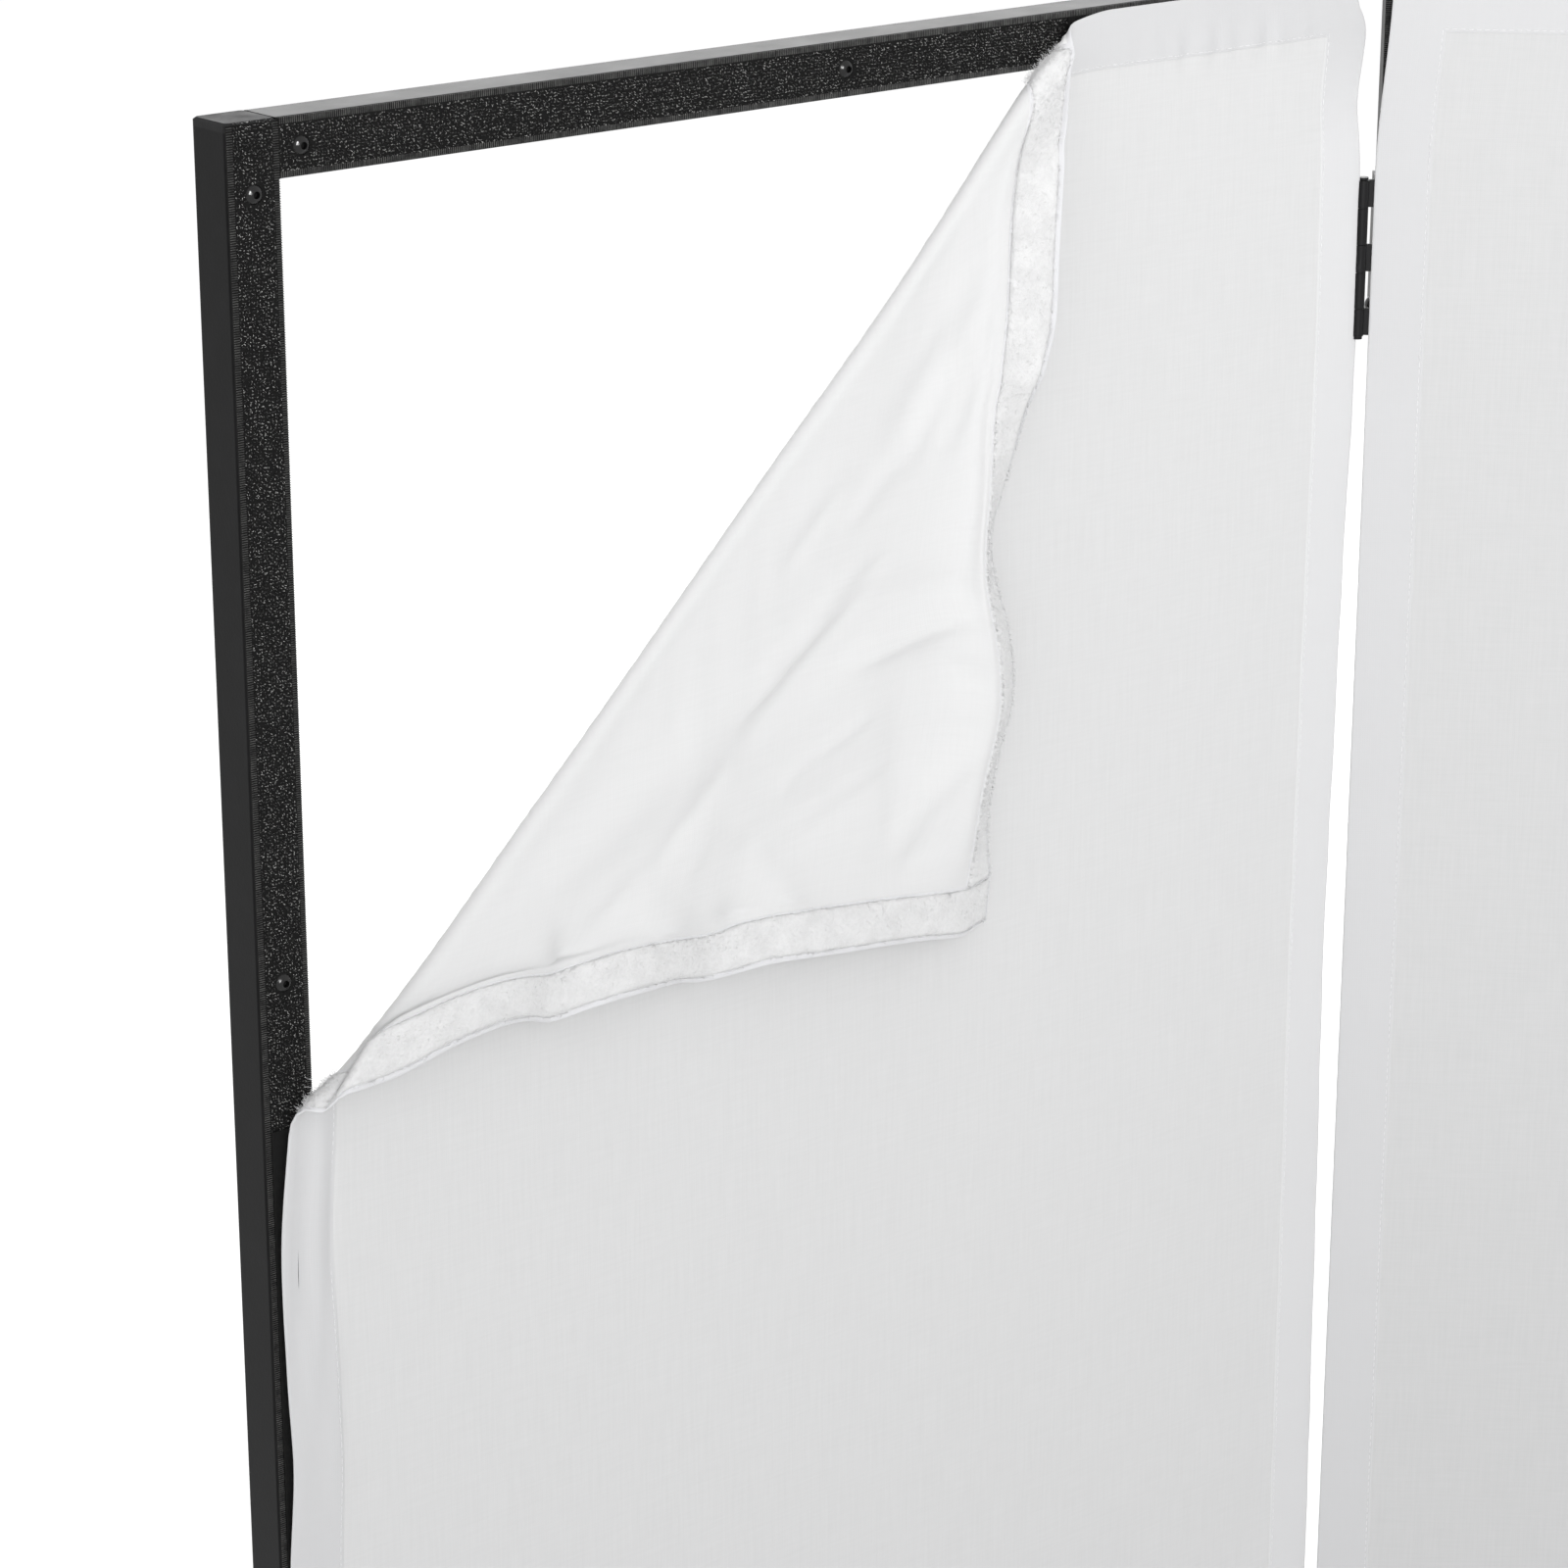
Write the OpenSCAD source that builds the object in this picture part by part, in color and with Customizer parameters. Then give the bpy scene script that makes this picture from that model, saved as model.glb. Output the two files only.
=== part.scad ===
// Folding backdrop screen: two black square-tube panels on a pair of hinges,
// each with a white scrim pressed onto hook tape. The top left corner of the
// first scrim is peeled off its tape and turned back over the front.
//
// Panel axes: X across the panel, Y from its front to its back, Z up.
// The front wall of the tubes is at y = 0 and the feet stand on z = 0.

/* [Panel] */
// Outer width of one panel
panel_w = 526; // [420:1:640]
// Height of one panel over its caps and feet
panel_h = 1144; // [1000:1:1400]

/* [Tube] */
// Outer side of the square tube
tube = 20; // [18:0.5:24]
// Wall thickness of the tube
wall = 1.2; // [1:0.1:2]
// Outer corner radius of the tube
tube_r = 1.5; // [1:0.1:2]

/* [Caps and feet] */
// Height of a cap or foot outside the tube
cap_h = 3; // [2:0.5:6]
// Bevel around the outer face of a cap or foot
cap_bevel = 0.8; // [0.4:0.1:1.2]
// Depth of the plug inside the tube
plug_depth = 14; // [8:1:20]

/* [Hook and loop tape] */
// Thickness of the hook tape with its hooks
hook_t = 1.4; // [1.2:0.1:1.8]
// Thickness of the loop tape, pressed onto the hooks
loop_t = 1.2; // [1:0.1:1.4]
// Width of the loop tape
loop_w = 18; // [14:1:19]
// Distance from the edge of the scrim to its loop tape
loop_inset = 3.8; // [3.6:0.1:5]
// Gap between the tape of a post and the tape of a rail
tape_gap = 0.4; // [0.2:0.1:1]
// Distance from the ends of a post to its hook tape
tape_end = 0.5; // [0.5:0.5:3]

/* [Rivets] */
// Radius of a blind rivet's head
head_r = 3.3; // [2.8:0.1:3.8]
// Height of a blind rivet's head
head_h = 1.6; // [1.2:0.1:1.8]
// Radius of a blind rivet's shank
shank_r = 1.6; // [1.4:0.1:2]
// Number of rivets in a post tape
post_rivets = 5; // [3:1:7]
// Distance from the end of a post to its outermost rivet
post_rivet_inset = 24; // [23:1:40]
// Number of rivets in a rail tape
rail_rivets = 3; // [2:1:5]
// Distance from the side of the panel to the outermost rail rivet
rail_rivet_inset = 29; // [26:1:60]

/* [Hinge] */
// Height of a hinge
hinge_h = 63.5; // [50:0.5:76]
// Distance from the end of the panel to the nearest end of a hinge
hinge_inset = 82.5; // [60:0.5:160]
// Gap between the posts of two panels that stand in one plane
hinge_gap = 12.5; // [12:0.5:16]
// Thickness of a hinge leaf
leaf_t = 1.3; // [1:0.1:1.6]
// Radius of the hinge barrel
barrel_r = 2.4; // [2.2:0.1:2.6]
// Height of a knuckle on the first panel's leaf
knuckle_h = 14.8; // [12.7:0.1:15]
// Distance of the hinge pin in front of the tubes
pin_front = 3.6; // [3.6:0.1:4]

/* [Scrim] */
// Thickness of the scrim with its hem
scrim_t = 0.8; // [0.6:0.1:0.8]
// Width of a scrim
scrim_w = 526.6; // [420:0.1:640]
// Distance from the ends of the panel to the scrim
scrim_end = 1; // [0.5:0.5:4]
// How far the first scrim sits to the right of its panel's left side
scrim_1_x = 3; // [0:0.1:3]
// How far the second scrim sits to the right of its panel's left side
scrim_2_x = 1; // [0:0.1:3]
// Where the turned-back corner begins along the top edge, from the panel's left side
fold_x = 357; // [250:1:400]
// Where the turned-back corner begins down the left edge, from the panel's top
fold_z = 348; // [250:1:400]
// How far the turned-back corner stands out from the scrim
corner_depth = 20; // [10:1:26]

/* [Stance] */
// Angle of the second panel to the first, 0 when they stand in one plane
stance = 43; // [20:1:90]

/* [Hidden] */

$fn = 48;
// Overshoot of a cut past the face it opens
cut = 1;
// Colours
frame_black = "#232324";
plastic_black = "#303031";
tape_black = "#1d1d1e";
rivet_black = "#101011";
scrim_white = "#e4e4e8";
loop_white = "#f0f0f2";

// Radial clearance of a shank in its hole, and of the hinge pin in its knuckles
fit_gap = 0.05;
hole_r = shank_r + fit_gap;
// Side clearance of a plug in its tube
plug_gap = 0.2;
// Wall thickness of a plug
plug_wall = 1.6;
// A rivet head presses this far into the hook tape
head_sink = 0.8;
// Clearance around a rivet head
head_gap = 0.2;
// Radius of the hole left by the rivet's broken mandrel, at its bottom and at its mouth
mandrel_r = 1;
mouth_r = 1.3;
// Depth of the mandrel hole under the top of the dome
mandrel_depth = 2.4;
// Radius and length of the blind end that clamps the rivet behind a wall, and how
// much it narrows towards the wall and towards its tip
bulb_r = 2.3;
bulb_h = 4;
bulb_neck = 0.3;
bulb_tip = 0.6;
// Steps in the curve of a rivet's dome
dome_steps = 8;

// Stations of the rivets along the posts and along the rails
post_pitch = (panel_h - 2 * post_rivet_inset) / (post_rivets - 1);
post_rivet_z = [for (i = [0 : post_rivets - 1]) post_rivet_inset + i * post_pitch];
rail_pitch = (panel_w - 2 * rail_rivet_inset) / (rail_rivets - 1);
rail_rivet_x = [for (i = [0 : rail_rivets - 1]) rail_rivet_inset + i * rail_pitch];
// Each rivet of a panel as [x, z]
tape_rivet_places = concat(
    [for (x = [tube / 2, panel_w - tube / 2], z = post_rivet_z) [x, z]],
    [for (x = rail_rivet_x, z = [tube / 2, panel_h - tube / 2]) [x, z]]
);

// The hinge pin in the axes of the first panel
pin_x = panel_w + hinge_gap / 2;
pin_y = -pin_front;
pin_r = barrel_r - leaf_t;
pin_head_r = 2;
pin_head_h = 1;
// Lower ends of the two hinges
hinge_low_z = hinge_inset;
hinge_top_z = panel_h - hinge_inset - hinge_h;
// Heights of the five knuckle rows: the second panel's leaf has the 1st, 3rd and 5th
outer_knuckle_h = (hinge_h - 2 * knuckle_h) / 3;
row_h = [for (i = [0 : 4]) i % 2 == 0 ? outer_knuckle_h : knuckle_h];
function row_z(i) = i == 0 ? 0 : row_z(i - 1) + row_h[i - 1];
// End clearance of a knuckle
knuckle_gap = 0.1;
// How far a leaf reaches back along the post
leaf_back = 17;
// Rivets of a leaf: their places along it and across it
leaf_rivet_end = 10;
leaf_rivet_z = [leaf_rivet_end, hinge_h / 2, hinge_h - leaf_rivet_end];
leaf_rivet_y = 9.5;

// Planes from the tube outwards
loop_y = -hook_t;
scrim_y = loop_y - loop_t;
front_y = scrim_y - scrim_t;
// Clearance between the turned-back corner and the scrim
corner_gap = 0.3;
corner_y = front_y - corner_gap;
// Slack taken up by the round of the fold, across the crease
fold_slack = 18;
// Distance from the edge of the turned corner to its loop tape
turned_inset = 1.8;
// How far the strips of loop tape on it stop short of the crease
crease_short = 3 * loop_w;
// The turned corner's crease and its free corner, as [x, z] in the first panel
crease_top = [fold_x, panel_h - scrim_end];
crease_left = [scrim_1_x, panel_h - fold_z];
crease_run = crease_top - crease_left;
crease_len = norm(crease_run);
crease_normal = [crease_run[1], -crease_run[0]] / crease_len;
scrim_corner = [scrim_1_x, panel_h - scrim_end];
corner_reach = abs((scrim_corner - crease_top) * crease_normal);
free_corner = scrim_corner + (2 * corner_reach - fold_slack) * crease_normal;

// The row's origin is at the bottom centre of the whole screen's box
far_u = hinge_gap / 2 + panel_w - tube_r;
far_v = tube - pin_y - tube_r;
box_x = pin_x + far_u * cos(stance) + far_v * sin(stance) + tube_r;
edge_u = hinge_gap / 2 + scrim_2_x + scrim_w;
edge_v = front_y - pin_y;
box_low_y = pin_y - edge_u * sin(stance) + edge_v * cos(stance);
origin_x = box_x / 2;
origin_y = (tube + box_low_y) / 2;

// Places its children, drawn in panel axes, where the first panel stands
module panel_1() {
    translate([-origin_x, -origin_y, 0]) children();
}

// Places its children, drawn in panel axes, where the second panel stands
module panel_2() {
    panel_1()
        translate([pin_x, pin_y, 0])
            rotate([0, 0, -stance])
                translate([hinge_gap / 2, -pin_y, 0]) children();
}

// Square of a given side with round corners, its lower left corner at the origin
module round_square(side, r) {
    translate([r, 0]) square([side - 2 * r, side]);
    translate([0, r]) square([side, side - 2 * r]);
    for (x = [r, side - r], y = [r, side - r]) translate([x, y]) circle(r);
}

// Hollow square tube along Z
module square_tube(length) {
    linear_extrude(length)
        difference() {
            round_square(tube, tube_r);
            translate([wall, wall]) square(tube - 2 * wall);
        }
}

// Round cut into a front face at [x, z], from y = 0 back to a depth
module front_cut(place, r, depth) {
    translate([place[0], -cut, place[1]]) rotate([-90, 0, 0]) cylinder(r = r, h = depth + cut);
}

// Upright tube at x, with its tape's rivet holes. Hinge holes are cut in its right
// side, its left side or neither, as side is 1, -1 or 0
module post(x, side) {
    side_x = x + (side > 0 ? tube - wall - cut : -cut);
    color(frame_black)
        difference() {
            translate([x, 0, cap_h]) square_tube(panel_h - 2 * cap_h);
            for (z = post_rivet_z) front_cut([x + tube / 2, z], hole_r, wall + cut);
            if (side != 0)
                for (low = [hinge_low_z, hinge_top_z], z = leaf_rivet_z)
                    translate([side_x, leaf_rivet_y, low + z])
                        rotate([0, 90, 0]) cylinder(r = hole_r, h = wall + 2 * cut);
        }
}

// Level tube between the posts, its lower side at z
module rail(z) {
    color(frame_black)
        difference() {
            translate([tube, 0, z]) rotate([90, 0, 90]) square_tube(panel_w - 2 * tube);
            for (x = rail_rivet_x) front_cut([x, z + tube / 2], hole_r, wall + cut);
        }
}

// Plug with a bevelled flange: the flange is on top and its tube ends at z = 0
module plug() {
    plug_side = tube - 2 * wall - 2 * plug_gap;
    plug_low = wall + plug_gap;
    hull() {
        linear_extrude(cap_h - cap_bevel) round_square(tube, tube_r);
        translate([cap_bevel, cap_bevel, 0])
            linear_extrude(cap_h) round_square(tube - 2 * cap_bevel, tube_r);
    }
    translate([plug_low, plug_low, -plug_depth])
        linear_extrude(plug_depth)
            difference() {
                square(plug_side);
                translate([plug_wall, plug_wall]) square(plug_side - 2 * plug_wall);
            }
}

// Caps in the tops of both posts
module caps() {
    color(plastic_black)
        for (x = [0, panel_w - tube]) translate([x, 0, panel_h - cap_h]) plug();
}

// Feet in the bottoms of both posts
module feet() {
    color(plastic_black)
        for (x = [0, panel_w - tube])
            translate([x, 0, cap_h]) mirror([0, 0, 1]) plug();
}

// Cuts that the tape rivets make in a hook tape
module tape_rivet_cuts() {
    for (place = tape_rivet_places)
        translate([0, -hook_t, 0]) {
            front_cut(place, hole_r, hook_t + cut);
            front_cut(place, head_r + head_gap, head_sink);
        }
}

// Hook tape along a post, the full height of the panel
module post_hook_tape(x) {
    color(tape_black)
        difference() {
            translate([x, -hook_t, tape_end]) cube([tube, hook_t, panel_h - 2 * tape_end]);
            tape_rivet_cuts();
        }
}

// Hook tape along a rail, between the tapes of the posts
module rail_hook_tape(z) {
    color(tape_black)
        difference() {
            translate([tube + tape_gap, -hook_t, z])
                cube([panel_w - 2 * tube - 2 * tape_gap, hook_t, tube]);
            tape_rivet_cuts();
        }
}

// Blind rivet along Z, set through a stack of the given thickness: a hollow dome on
// z = 0, a shank, and the clamped end behind the stack
module blind_rivet(stack) {
    dome_r = (head_r * head_r + head_h * head_h) / (2 * head_h);
    dome_angle = asin(head_r / dome_r);
    dome = [
        for (i = [0 : dome_steps])
            let (a = dome_angle * (1 - i / dome_steps))
            [dome_r * sin(a), head_h - dome_r * (1 - cos(a))]
    ];
    difference() {
        rotate_extrude()
            polygon(concat(dome, [
                [0, -stack - bulb_h],
                [bulb_r - bulb_tip, -stack - bulb_h],
                [bulb_r, -stack - bulb_h / 2],
                [bulb_r - bulb_neck, -stack],
                [shank_r, -stack],
                [shank_r, 0]
            ]));
        translate([0, 0, head_h - mandrel_depth]) cylinder(r = mandrel_r, h = mandrel_depth);
        cylinder(r1 = mandrel_r, r2 = mouth_r, h = head_h);
        translate([0, 0, head_h]) cylinder(r = mouth_r, h = cut);
    }
}

// All the rivets that hold the hook tapes of one panel
module tape_rivets() {
    color(rivet_black)
        for (place = tape_rivet_places)
            translate([place[0], head_sink - hook_t, place[1]])
                rotate([90, 0, 0]) blind_rivet(hook_t - head_sink + wall);
}

// Outline drawn as [x, z] made into a flat sheet, its back at y
module sheet(y, thickness) {
    translate([0, y, 0]) rotate([90, 0, 0]) linear_extrude(thickness) children();
}

// Pockets that the rivet heads press into the loop tape
module head_pockets() {
    for (place = tape_rivet_places)
        translate([0, loop_y - head_h + head_sink - head_gap, 0])
            front_cut(place, head_r + head_gap, loop_t + cut);
}

// Loop tape on the back of the scrim that starts at x. On the side that starts at the
// turned corner, top_x and left_z are where the upper and the left strip begin
module loop_tape(x, top_x, left_z) {
    low_z = scrim_end + loop_inset;
    high_z = panel_h - low_z;
    low_x = x + loop_inset;
    high_x = x + scrim_w - loop_inset;
    color(loop_white)
        difference() {
            sheet(loop_y, loop_t) {
                translate([low_x, low_z]) square([loop_w, left_z - low_z]);
                translate([high_x - loop_w, low_z]) square([loop_w, high_z - low_z]);
                translate([low_x, low_z]) square([high_x - low_x, loop_w]);
                translate([top_x, high_z - loop_w]) square([high_x - top_x, loop_w]);
            }
            head_pockets();
        }
}

// The first scrim, still pressed on everywhere but at its turned corner
module scrim_1() {
    right = scrim_1_x + scrim_w;
    color(scrim_white)
        sheet(scrim_y, scrim_t)
            polygon([
                crease_top,
                [right, panel_h - scrim_end],
                [right, scrim_end],
                [scrim_1_x, scrim_end],
                crease_left
            ]);
}

// The second scrim, pressed on all round
module scrim_2() {
    color(scrim_white)
        sheet(scrim_y, scrim_t)
            translate([scrim_2_x, scrim_end]) square([scrim_w, panel_h - 2 * scrim_end]);
}

// The space that the turned-back corner of the first scrim hangs in
module turned_corner() {
    color(scrim_white)
        sheet(corner_y, corner_depth) polygon([crease_top, crease_left, free_corner]);
}

// Strip of loop tape along the edge from a to b of the turned corner, to the left of
// the way from a to b, stopping short of both ends
module turned_strip(a, b, short_a, short_b) {
    run = (b - a) / norm(b - a);
    inward = [-run[1], run[0]];
    from = a + short_a * run + turned_inset * inward;
    to = b - short_b * run + turned_inset * inward;
    polygon([from, to, to + loop_w * inward, from + loop_w * inward]);
}

// Loop tape on the turned-back corner, facing forward
module turned_loop_tape() {
    color(loop_white)
        sheet(corner_y - corner_depth, loop_t) {
            turned_strip(free_corner, crease_top, turned_inset, crease_short);
            turned_strip(crease_left, free_corner, crease_short, loop_w + 2 * turned_inset);
        }
}

// Hinge leaf of the first panel, its lower end at z = 0: a plate on the side of the
// post and an arm to each of its knuckles, which are the rows from the given one on
module hinge_leaf(first_row) {
    arm_y = pin_y + barrel_r - leaf_t;
    color(frame_black)
        difference() {
            union() {
                translate([panel_w, arm_y, 0]) cube([leaf_t, leaf_back - arm_y, hinge_h]);
                for (i = [first_row : 2 : 4]) {
                    low = row_z(i) + knuckle_gap;
                    high = row_z(i) + row_h[i] - knuckle_gap;
                    translate([panel_w, arm_y, low])
                        cube([hinge_gap / 2, leaf_t, high - low]);
                    translate([pin_x, pin_y, low]) cylinder(r = barrel_r, h = high - low);
                }
            }
            translate([pin_x, pin_y, -cut])
                cylinder(r = pin_r + fit_gap, h = hinge_h + 2 * cut);
            for (z = leaf_rivet_z)
                translate([panel_w - cut, leaf_rivet_y, z])
                    rotate([0, 90, 0]) cylinder(r = hole_r, h = leaf_t + 2 * cut);
        }
}

// Rivets of a hinge leaf of the first panel
module leaf_rivets() {
    color(rivet_black)
        for (z = leaf_rivet_z)
            translate([panel_w + leaf_t, leaf_rivet_y, z])
                rotate([0, 90, 0]) blind_rivet(leaf_t + wall);
}

// Hinge pin with a peened head at each end
module hinge_pin() {
    color(frame_black)
        translate([pin_x, pin_y, 0]) {
            translate([0, 0, -pin_head_h]) cylinder(r = pin_r, h = hinge_h + 2 * pin_head_h);
            for (z = [-pin_head_h - knuckle_gap, hinge_h + knuckle_gap])
                translate([0, 0, z]) cylinder(r = pin_head_r, h = pin_head_h);
        }
}

// Turns a part drawn on the first panel's side of a hinge to the second panel's side
module other_side() {
    translate([pin_x, 0, 0])
        mirror([1, 0, 0])
            translate([-pin_x, 0, 0]) children();
}

// Places the second panel's half of a hinge, drawn as the first panel's half
module on_panel_2(z) {
    panel_2()
        translate([-panel_w - hinge_gap, 0, z]) other_side() children();
}

// Places the first panel's half of a hinge
module on_panel_1(z) {
    panel_1() translate([0, 0, z]) children();
}

right_x = panel_w - tube;
top_z = panel_h - tube;
strip_top_x = fold_x + loop_w;
strip_left_z = panel_h - fold_z - loop_w;
full_top_x = scrim_2_x + loop_inset;
full_left_z = panel_h - scrim_end - loop_inset;

panel_1() post(0, 0);  // panel_1_left_post
panel_1() post(right_x, 1);  // panel_1_right_post
panel_1() rail(top_z);  // panel_1_top_rail
panel_1() rail(0);  // panel_1_bottom_rail
panel_1() caps();  // panel_1_caps
panel_1() feet();  // panel_1_feet
panel_1() post_hook_tape(0);  // panel_1_left_hook_tape
panel_1() post_hook_tape(right_x);  // panel_1_right_hook_tape
panel_1() rail_hook_tape(top_z);  // panel_1_top_hook_tape
panel_1() rail_hook_tape(0);  // panel_1_bottom_hook_tape
panel_1() tape_rivets();  // panel_1_tape_rivets
panel_1() scrim_1();  // panel_1_scrim
panel_1() loop_tape(scrim_1_x, strip_top_x, strip_left_z);  // panel_1_loop_tape
panel_1() turned_corner();  // panel_1_turned_corner
panel_1() turned_loop_tape();  // panel_1_turned_loop_tape

panel_2() post(0, -1);  // panel_2_left_post
panel_2() post(right_x, 0);  // panel_2_right_post
panel_2() rail(top_z);  // panel_2_top_rail
panel_2() rail(0);  // panel_2_bottom_rail
panel_2() caps();  // panel_2_caps
panel_2() feet();  // panel_2_feet
panel_2() post_hook_tape(0);  // panel_2_left_hook_tape
panel_2() post_hook_tape(right_x);  // panel_2_right_hook_tape
panel_2() rail_hook_tape(top_z);  // panel_2_top_hook_tape
panel_2() rail_hook_tape(0);  // panel_2_bottom_hook_tape
panel_2() tape_rivets();  // panel_2_tape_rivets
panel_2() scrim_2();  // panel_2_scrim
panel_2() loop_tape(scrim_2_x, full_top_x, full_left_z);  // panel_2_loop_tape

on_panel_1(hinge_top_z) hinge_leaf(1);  // upper_hinge_leaf_1
on_panel_2(hinge_top_z) hinge_leaf(0);  // upper_hinge_leaf_2
on_panel_1(hinge_top_z) hinge_pin();  // upper_hinge_pin
on_panel_1(hinge_top_z) leaf_rivets();  // upper_hinge_rivets_1
on_panel_2(hinge_top_z) leaf_rivets();  // upper_hinge_rivets_2
on_panel_1(hinge_low_z) hinge_leaf(1);  // lower_hinge_leaf_1
on_panel_2(hinge_low_z) hinge_leaf(0);  // lower_hinge_leaf_2
on_panel_1(hinge_low_z) hinge_pin();  // lower_hinge_pin
on_panel_1(hinge_low_z) leaf_rivets();  // lower_hinge_rivets_1
on_panel_2(hinge_low_z) leaf_rivets();  // lower_hinge_rivets_2
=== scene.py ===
"""Looks of the folding backdrop screen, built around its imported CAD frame.

Cloth, tape and thread are worked out in a panel's own axes, in metres: u across from the
panel's left side, v back from the front of its tubes, and z up. A Panel places them in
the row frame. A scrim is first a flat sheet: s is the distance from its left edge and t
the distance down from its top edge.
"""

import math

import bpy
import numpy as np
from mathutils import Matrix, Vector


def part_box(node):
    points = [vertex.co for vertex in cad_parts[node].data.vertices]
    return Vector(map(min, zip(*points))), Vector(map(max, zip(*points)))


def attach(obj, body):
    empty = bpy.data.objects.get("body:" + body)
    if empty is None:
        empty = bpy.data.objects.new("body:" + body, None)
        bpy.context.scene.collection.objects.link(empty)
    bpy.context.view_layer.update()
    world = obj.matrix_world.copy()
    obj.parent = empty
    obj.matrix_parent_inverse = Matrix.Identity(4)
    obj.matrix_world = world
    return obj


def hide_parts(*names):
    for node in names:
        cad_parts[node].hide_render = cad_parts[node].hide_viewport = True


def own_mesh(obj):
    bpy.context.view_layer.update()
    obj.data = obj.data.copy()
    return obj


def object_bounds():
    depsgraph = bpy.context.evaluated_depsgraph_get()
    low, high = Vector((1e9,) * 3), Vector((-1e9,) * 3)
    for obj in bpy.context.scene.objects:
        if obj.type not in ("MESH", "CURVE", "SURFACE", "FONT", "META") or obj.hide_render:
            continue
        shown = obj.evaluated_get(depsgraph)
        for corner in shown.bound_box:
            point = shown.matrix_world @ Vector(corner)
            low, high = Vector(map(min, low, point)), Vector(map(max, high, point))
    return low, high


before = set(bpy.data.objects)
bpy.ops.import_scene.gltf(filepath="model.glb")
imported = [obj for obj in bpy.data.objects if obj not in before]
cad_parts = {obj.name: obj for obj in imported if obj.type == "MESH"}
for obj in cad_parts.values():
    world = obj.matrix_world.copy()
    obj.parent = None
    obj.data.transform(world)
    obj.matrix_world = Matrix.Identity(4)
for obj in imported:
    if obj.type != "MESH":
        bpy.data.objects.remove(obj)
CAD_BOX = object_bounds()
MM = 0.001
RNG = np.random.default_rng(7)

# ---------------- frame sizes


def middle(node):
    low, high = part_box(node)
    return (low + high) / 2


class Panel:
    """One panel's own axes, found from its two posts."""

    def __init__(self, name):
        run = middle(f"{name}_right_post") - middle(f"{name}_left_post")
        self.name = name
        self.across = np.array([run.x, run.y, 0.0]) / math.hypot(run.x, run.y)
        self.back = np.array([-self.across[1], self.across[0], 0.0])
        centre = np.array([*middle(f"{name}_left_post").xy, 0.0])
        self.origin = centre - TUBE / 2 * (self.across + self.back)

    def place(self, points):
        """Points (u, v, z) of the panel in the row frame."""
        p = np.asarray(points, float)
        up = np.array([0.0, 0.0, 1.0])
        return self.origin + p[..., 0:1] * self.across + p[..., 1:2] * self.back + p[..., 2:3] * up

    def find(self, point):
        """The (u, v, z) of a point, or of rows of points, in the row frame."""
        p = np.asarray(point, float) - self.origin
        return np.stack([p @ self.across, p @ self.back, p[..., 2]], -1)


POST_LOW, POST_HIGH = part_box("panel_1_left_post")
TUBE = POST_HIGH.x - POST_LOW.x
PANEL_H = CAD_BOX[1].z
PANEL_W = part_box("panel_1_right_post")[1].x - POST_LOW.x
HOOK_T = POST_LOW.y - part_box("panel_1_left_hook_tape")[0].y
SCRIM_LOW, SCRIM_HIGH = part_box("panel_1_scrim")
SCRIM_T = SCRIM_HIGH.y - SCRIM_LOW.y
SCRIM_V = (SCRIM_LOW.y + SCRIM_HIGH.y) / 2 - POST_LOW.y
SCRIM_U = SCRIM_LOW.x - POST_LOW.x
SCRIM_W = SCRIM_HIGH.x - SCRIM_LOW.x
SCRIM_H = SCRIM_HIGH.z - SCRIM_LOW.z
SCRIM_TOP = SCRIM_HIGH.z
LOOP_T = POST_LOW.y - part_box("panel_1_loop_tape")[0].y - HOOK_T

PANEL_1 = Panel("panel_1")
PANEL_2 = Panel("panel_2")
SCRIM_2_U = PANEL_2.find(middle("panel_2_scrim"))[0] - SCRIM_W / 2

# Crease of the turned-back corner, from the top edge to the left edge, in (s, t)
CORNER_LOW, CORNER_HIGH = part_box("panel_1_turned_corner")
CREASE_S = CORNER_HIGH.x - SCRIM_LOW.x
CREASE_T = SCRIM_TOP - CORNER_LOW.z

HEM_W = 22 * MM
CLOTH_T = 0.35 * MM

# ---------------- camera, light and floor

# The camera's place from the upper left front corner of the first panel, and its turn
CAMERA_AWAY = (-0.7863, -1.2250, 0.2580)
CAMERA_DOWN = math.radians(18.446)
CAMERA_RIGHT = math.radians(39.803)
LENS, SENSOR = 103.54, 36

# Each light's place, target, size, power and the spread of its beam in degrees
KEY = ((-2.0, -2.7, 1.9), (-0.1, -0.1, 1.35), (1.2, 1.2), 7.5, 44)
BACK_LIGHT = ((2.6, 2.9, 2.2), (0, 0, 1.1), (3.0, 1.6), 45, 180)
SPARKLE = ((-1.7, -2.3, 2.4), (-0.4, -0.1, 1.0), (0.4, 0.4), 36, 180)
WORLD_STRENGTH = 1.04
FLOOR_HALF = 30


def add_camera():
    data = bpy.data.cameras.new("camera")
    data.sensor_width = SENSOR
    data.lens = LENS
    camera = bpy.data.objects.new("camera", data)
    camera.location = Vector((POST_LOW.x, POST_LOW.y, PANEL_H)) + Vector(CAMERA_AWAY)
    camera.rotation_euler = (math.radians(90) - CAMERA_DOWN, 0, -CAMERA_RIGHT)
    bpy.context.scene.collection.objects.link(camera)
    bpy.context.scene.camera = camera


def add_softbox(name, place, target, size, power, spread):
    data = bpy.data.lights.new(name, "AREA")
    data.shape = "RECTANGLE"
    data.size, data.size_y = size
    data.energy = power
    data.spread = math.radians(spread)
    light = bpy.data.objects.new(name, data)
    light.location = place
    light.rotation_euler = (Vector(target) - Vector(place)).to_track_quat("-Z", "Y").to_euler()
    light.visible_camera = False
    bpy.context.scene.collection.objects.link(light)
    return light


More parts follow.
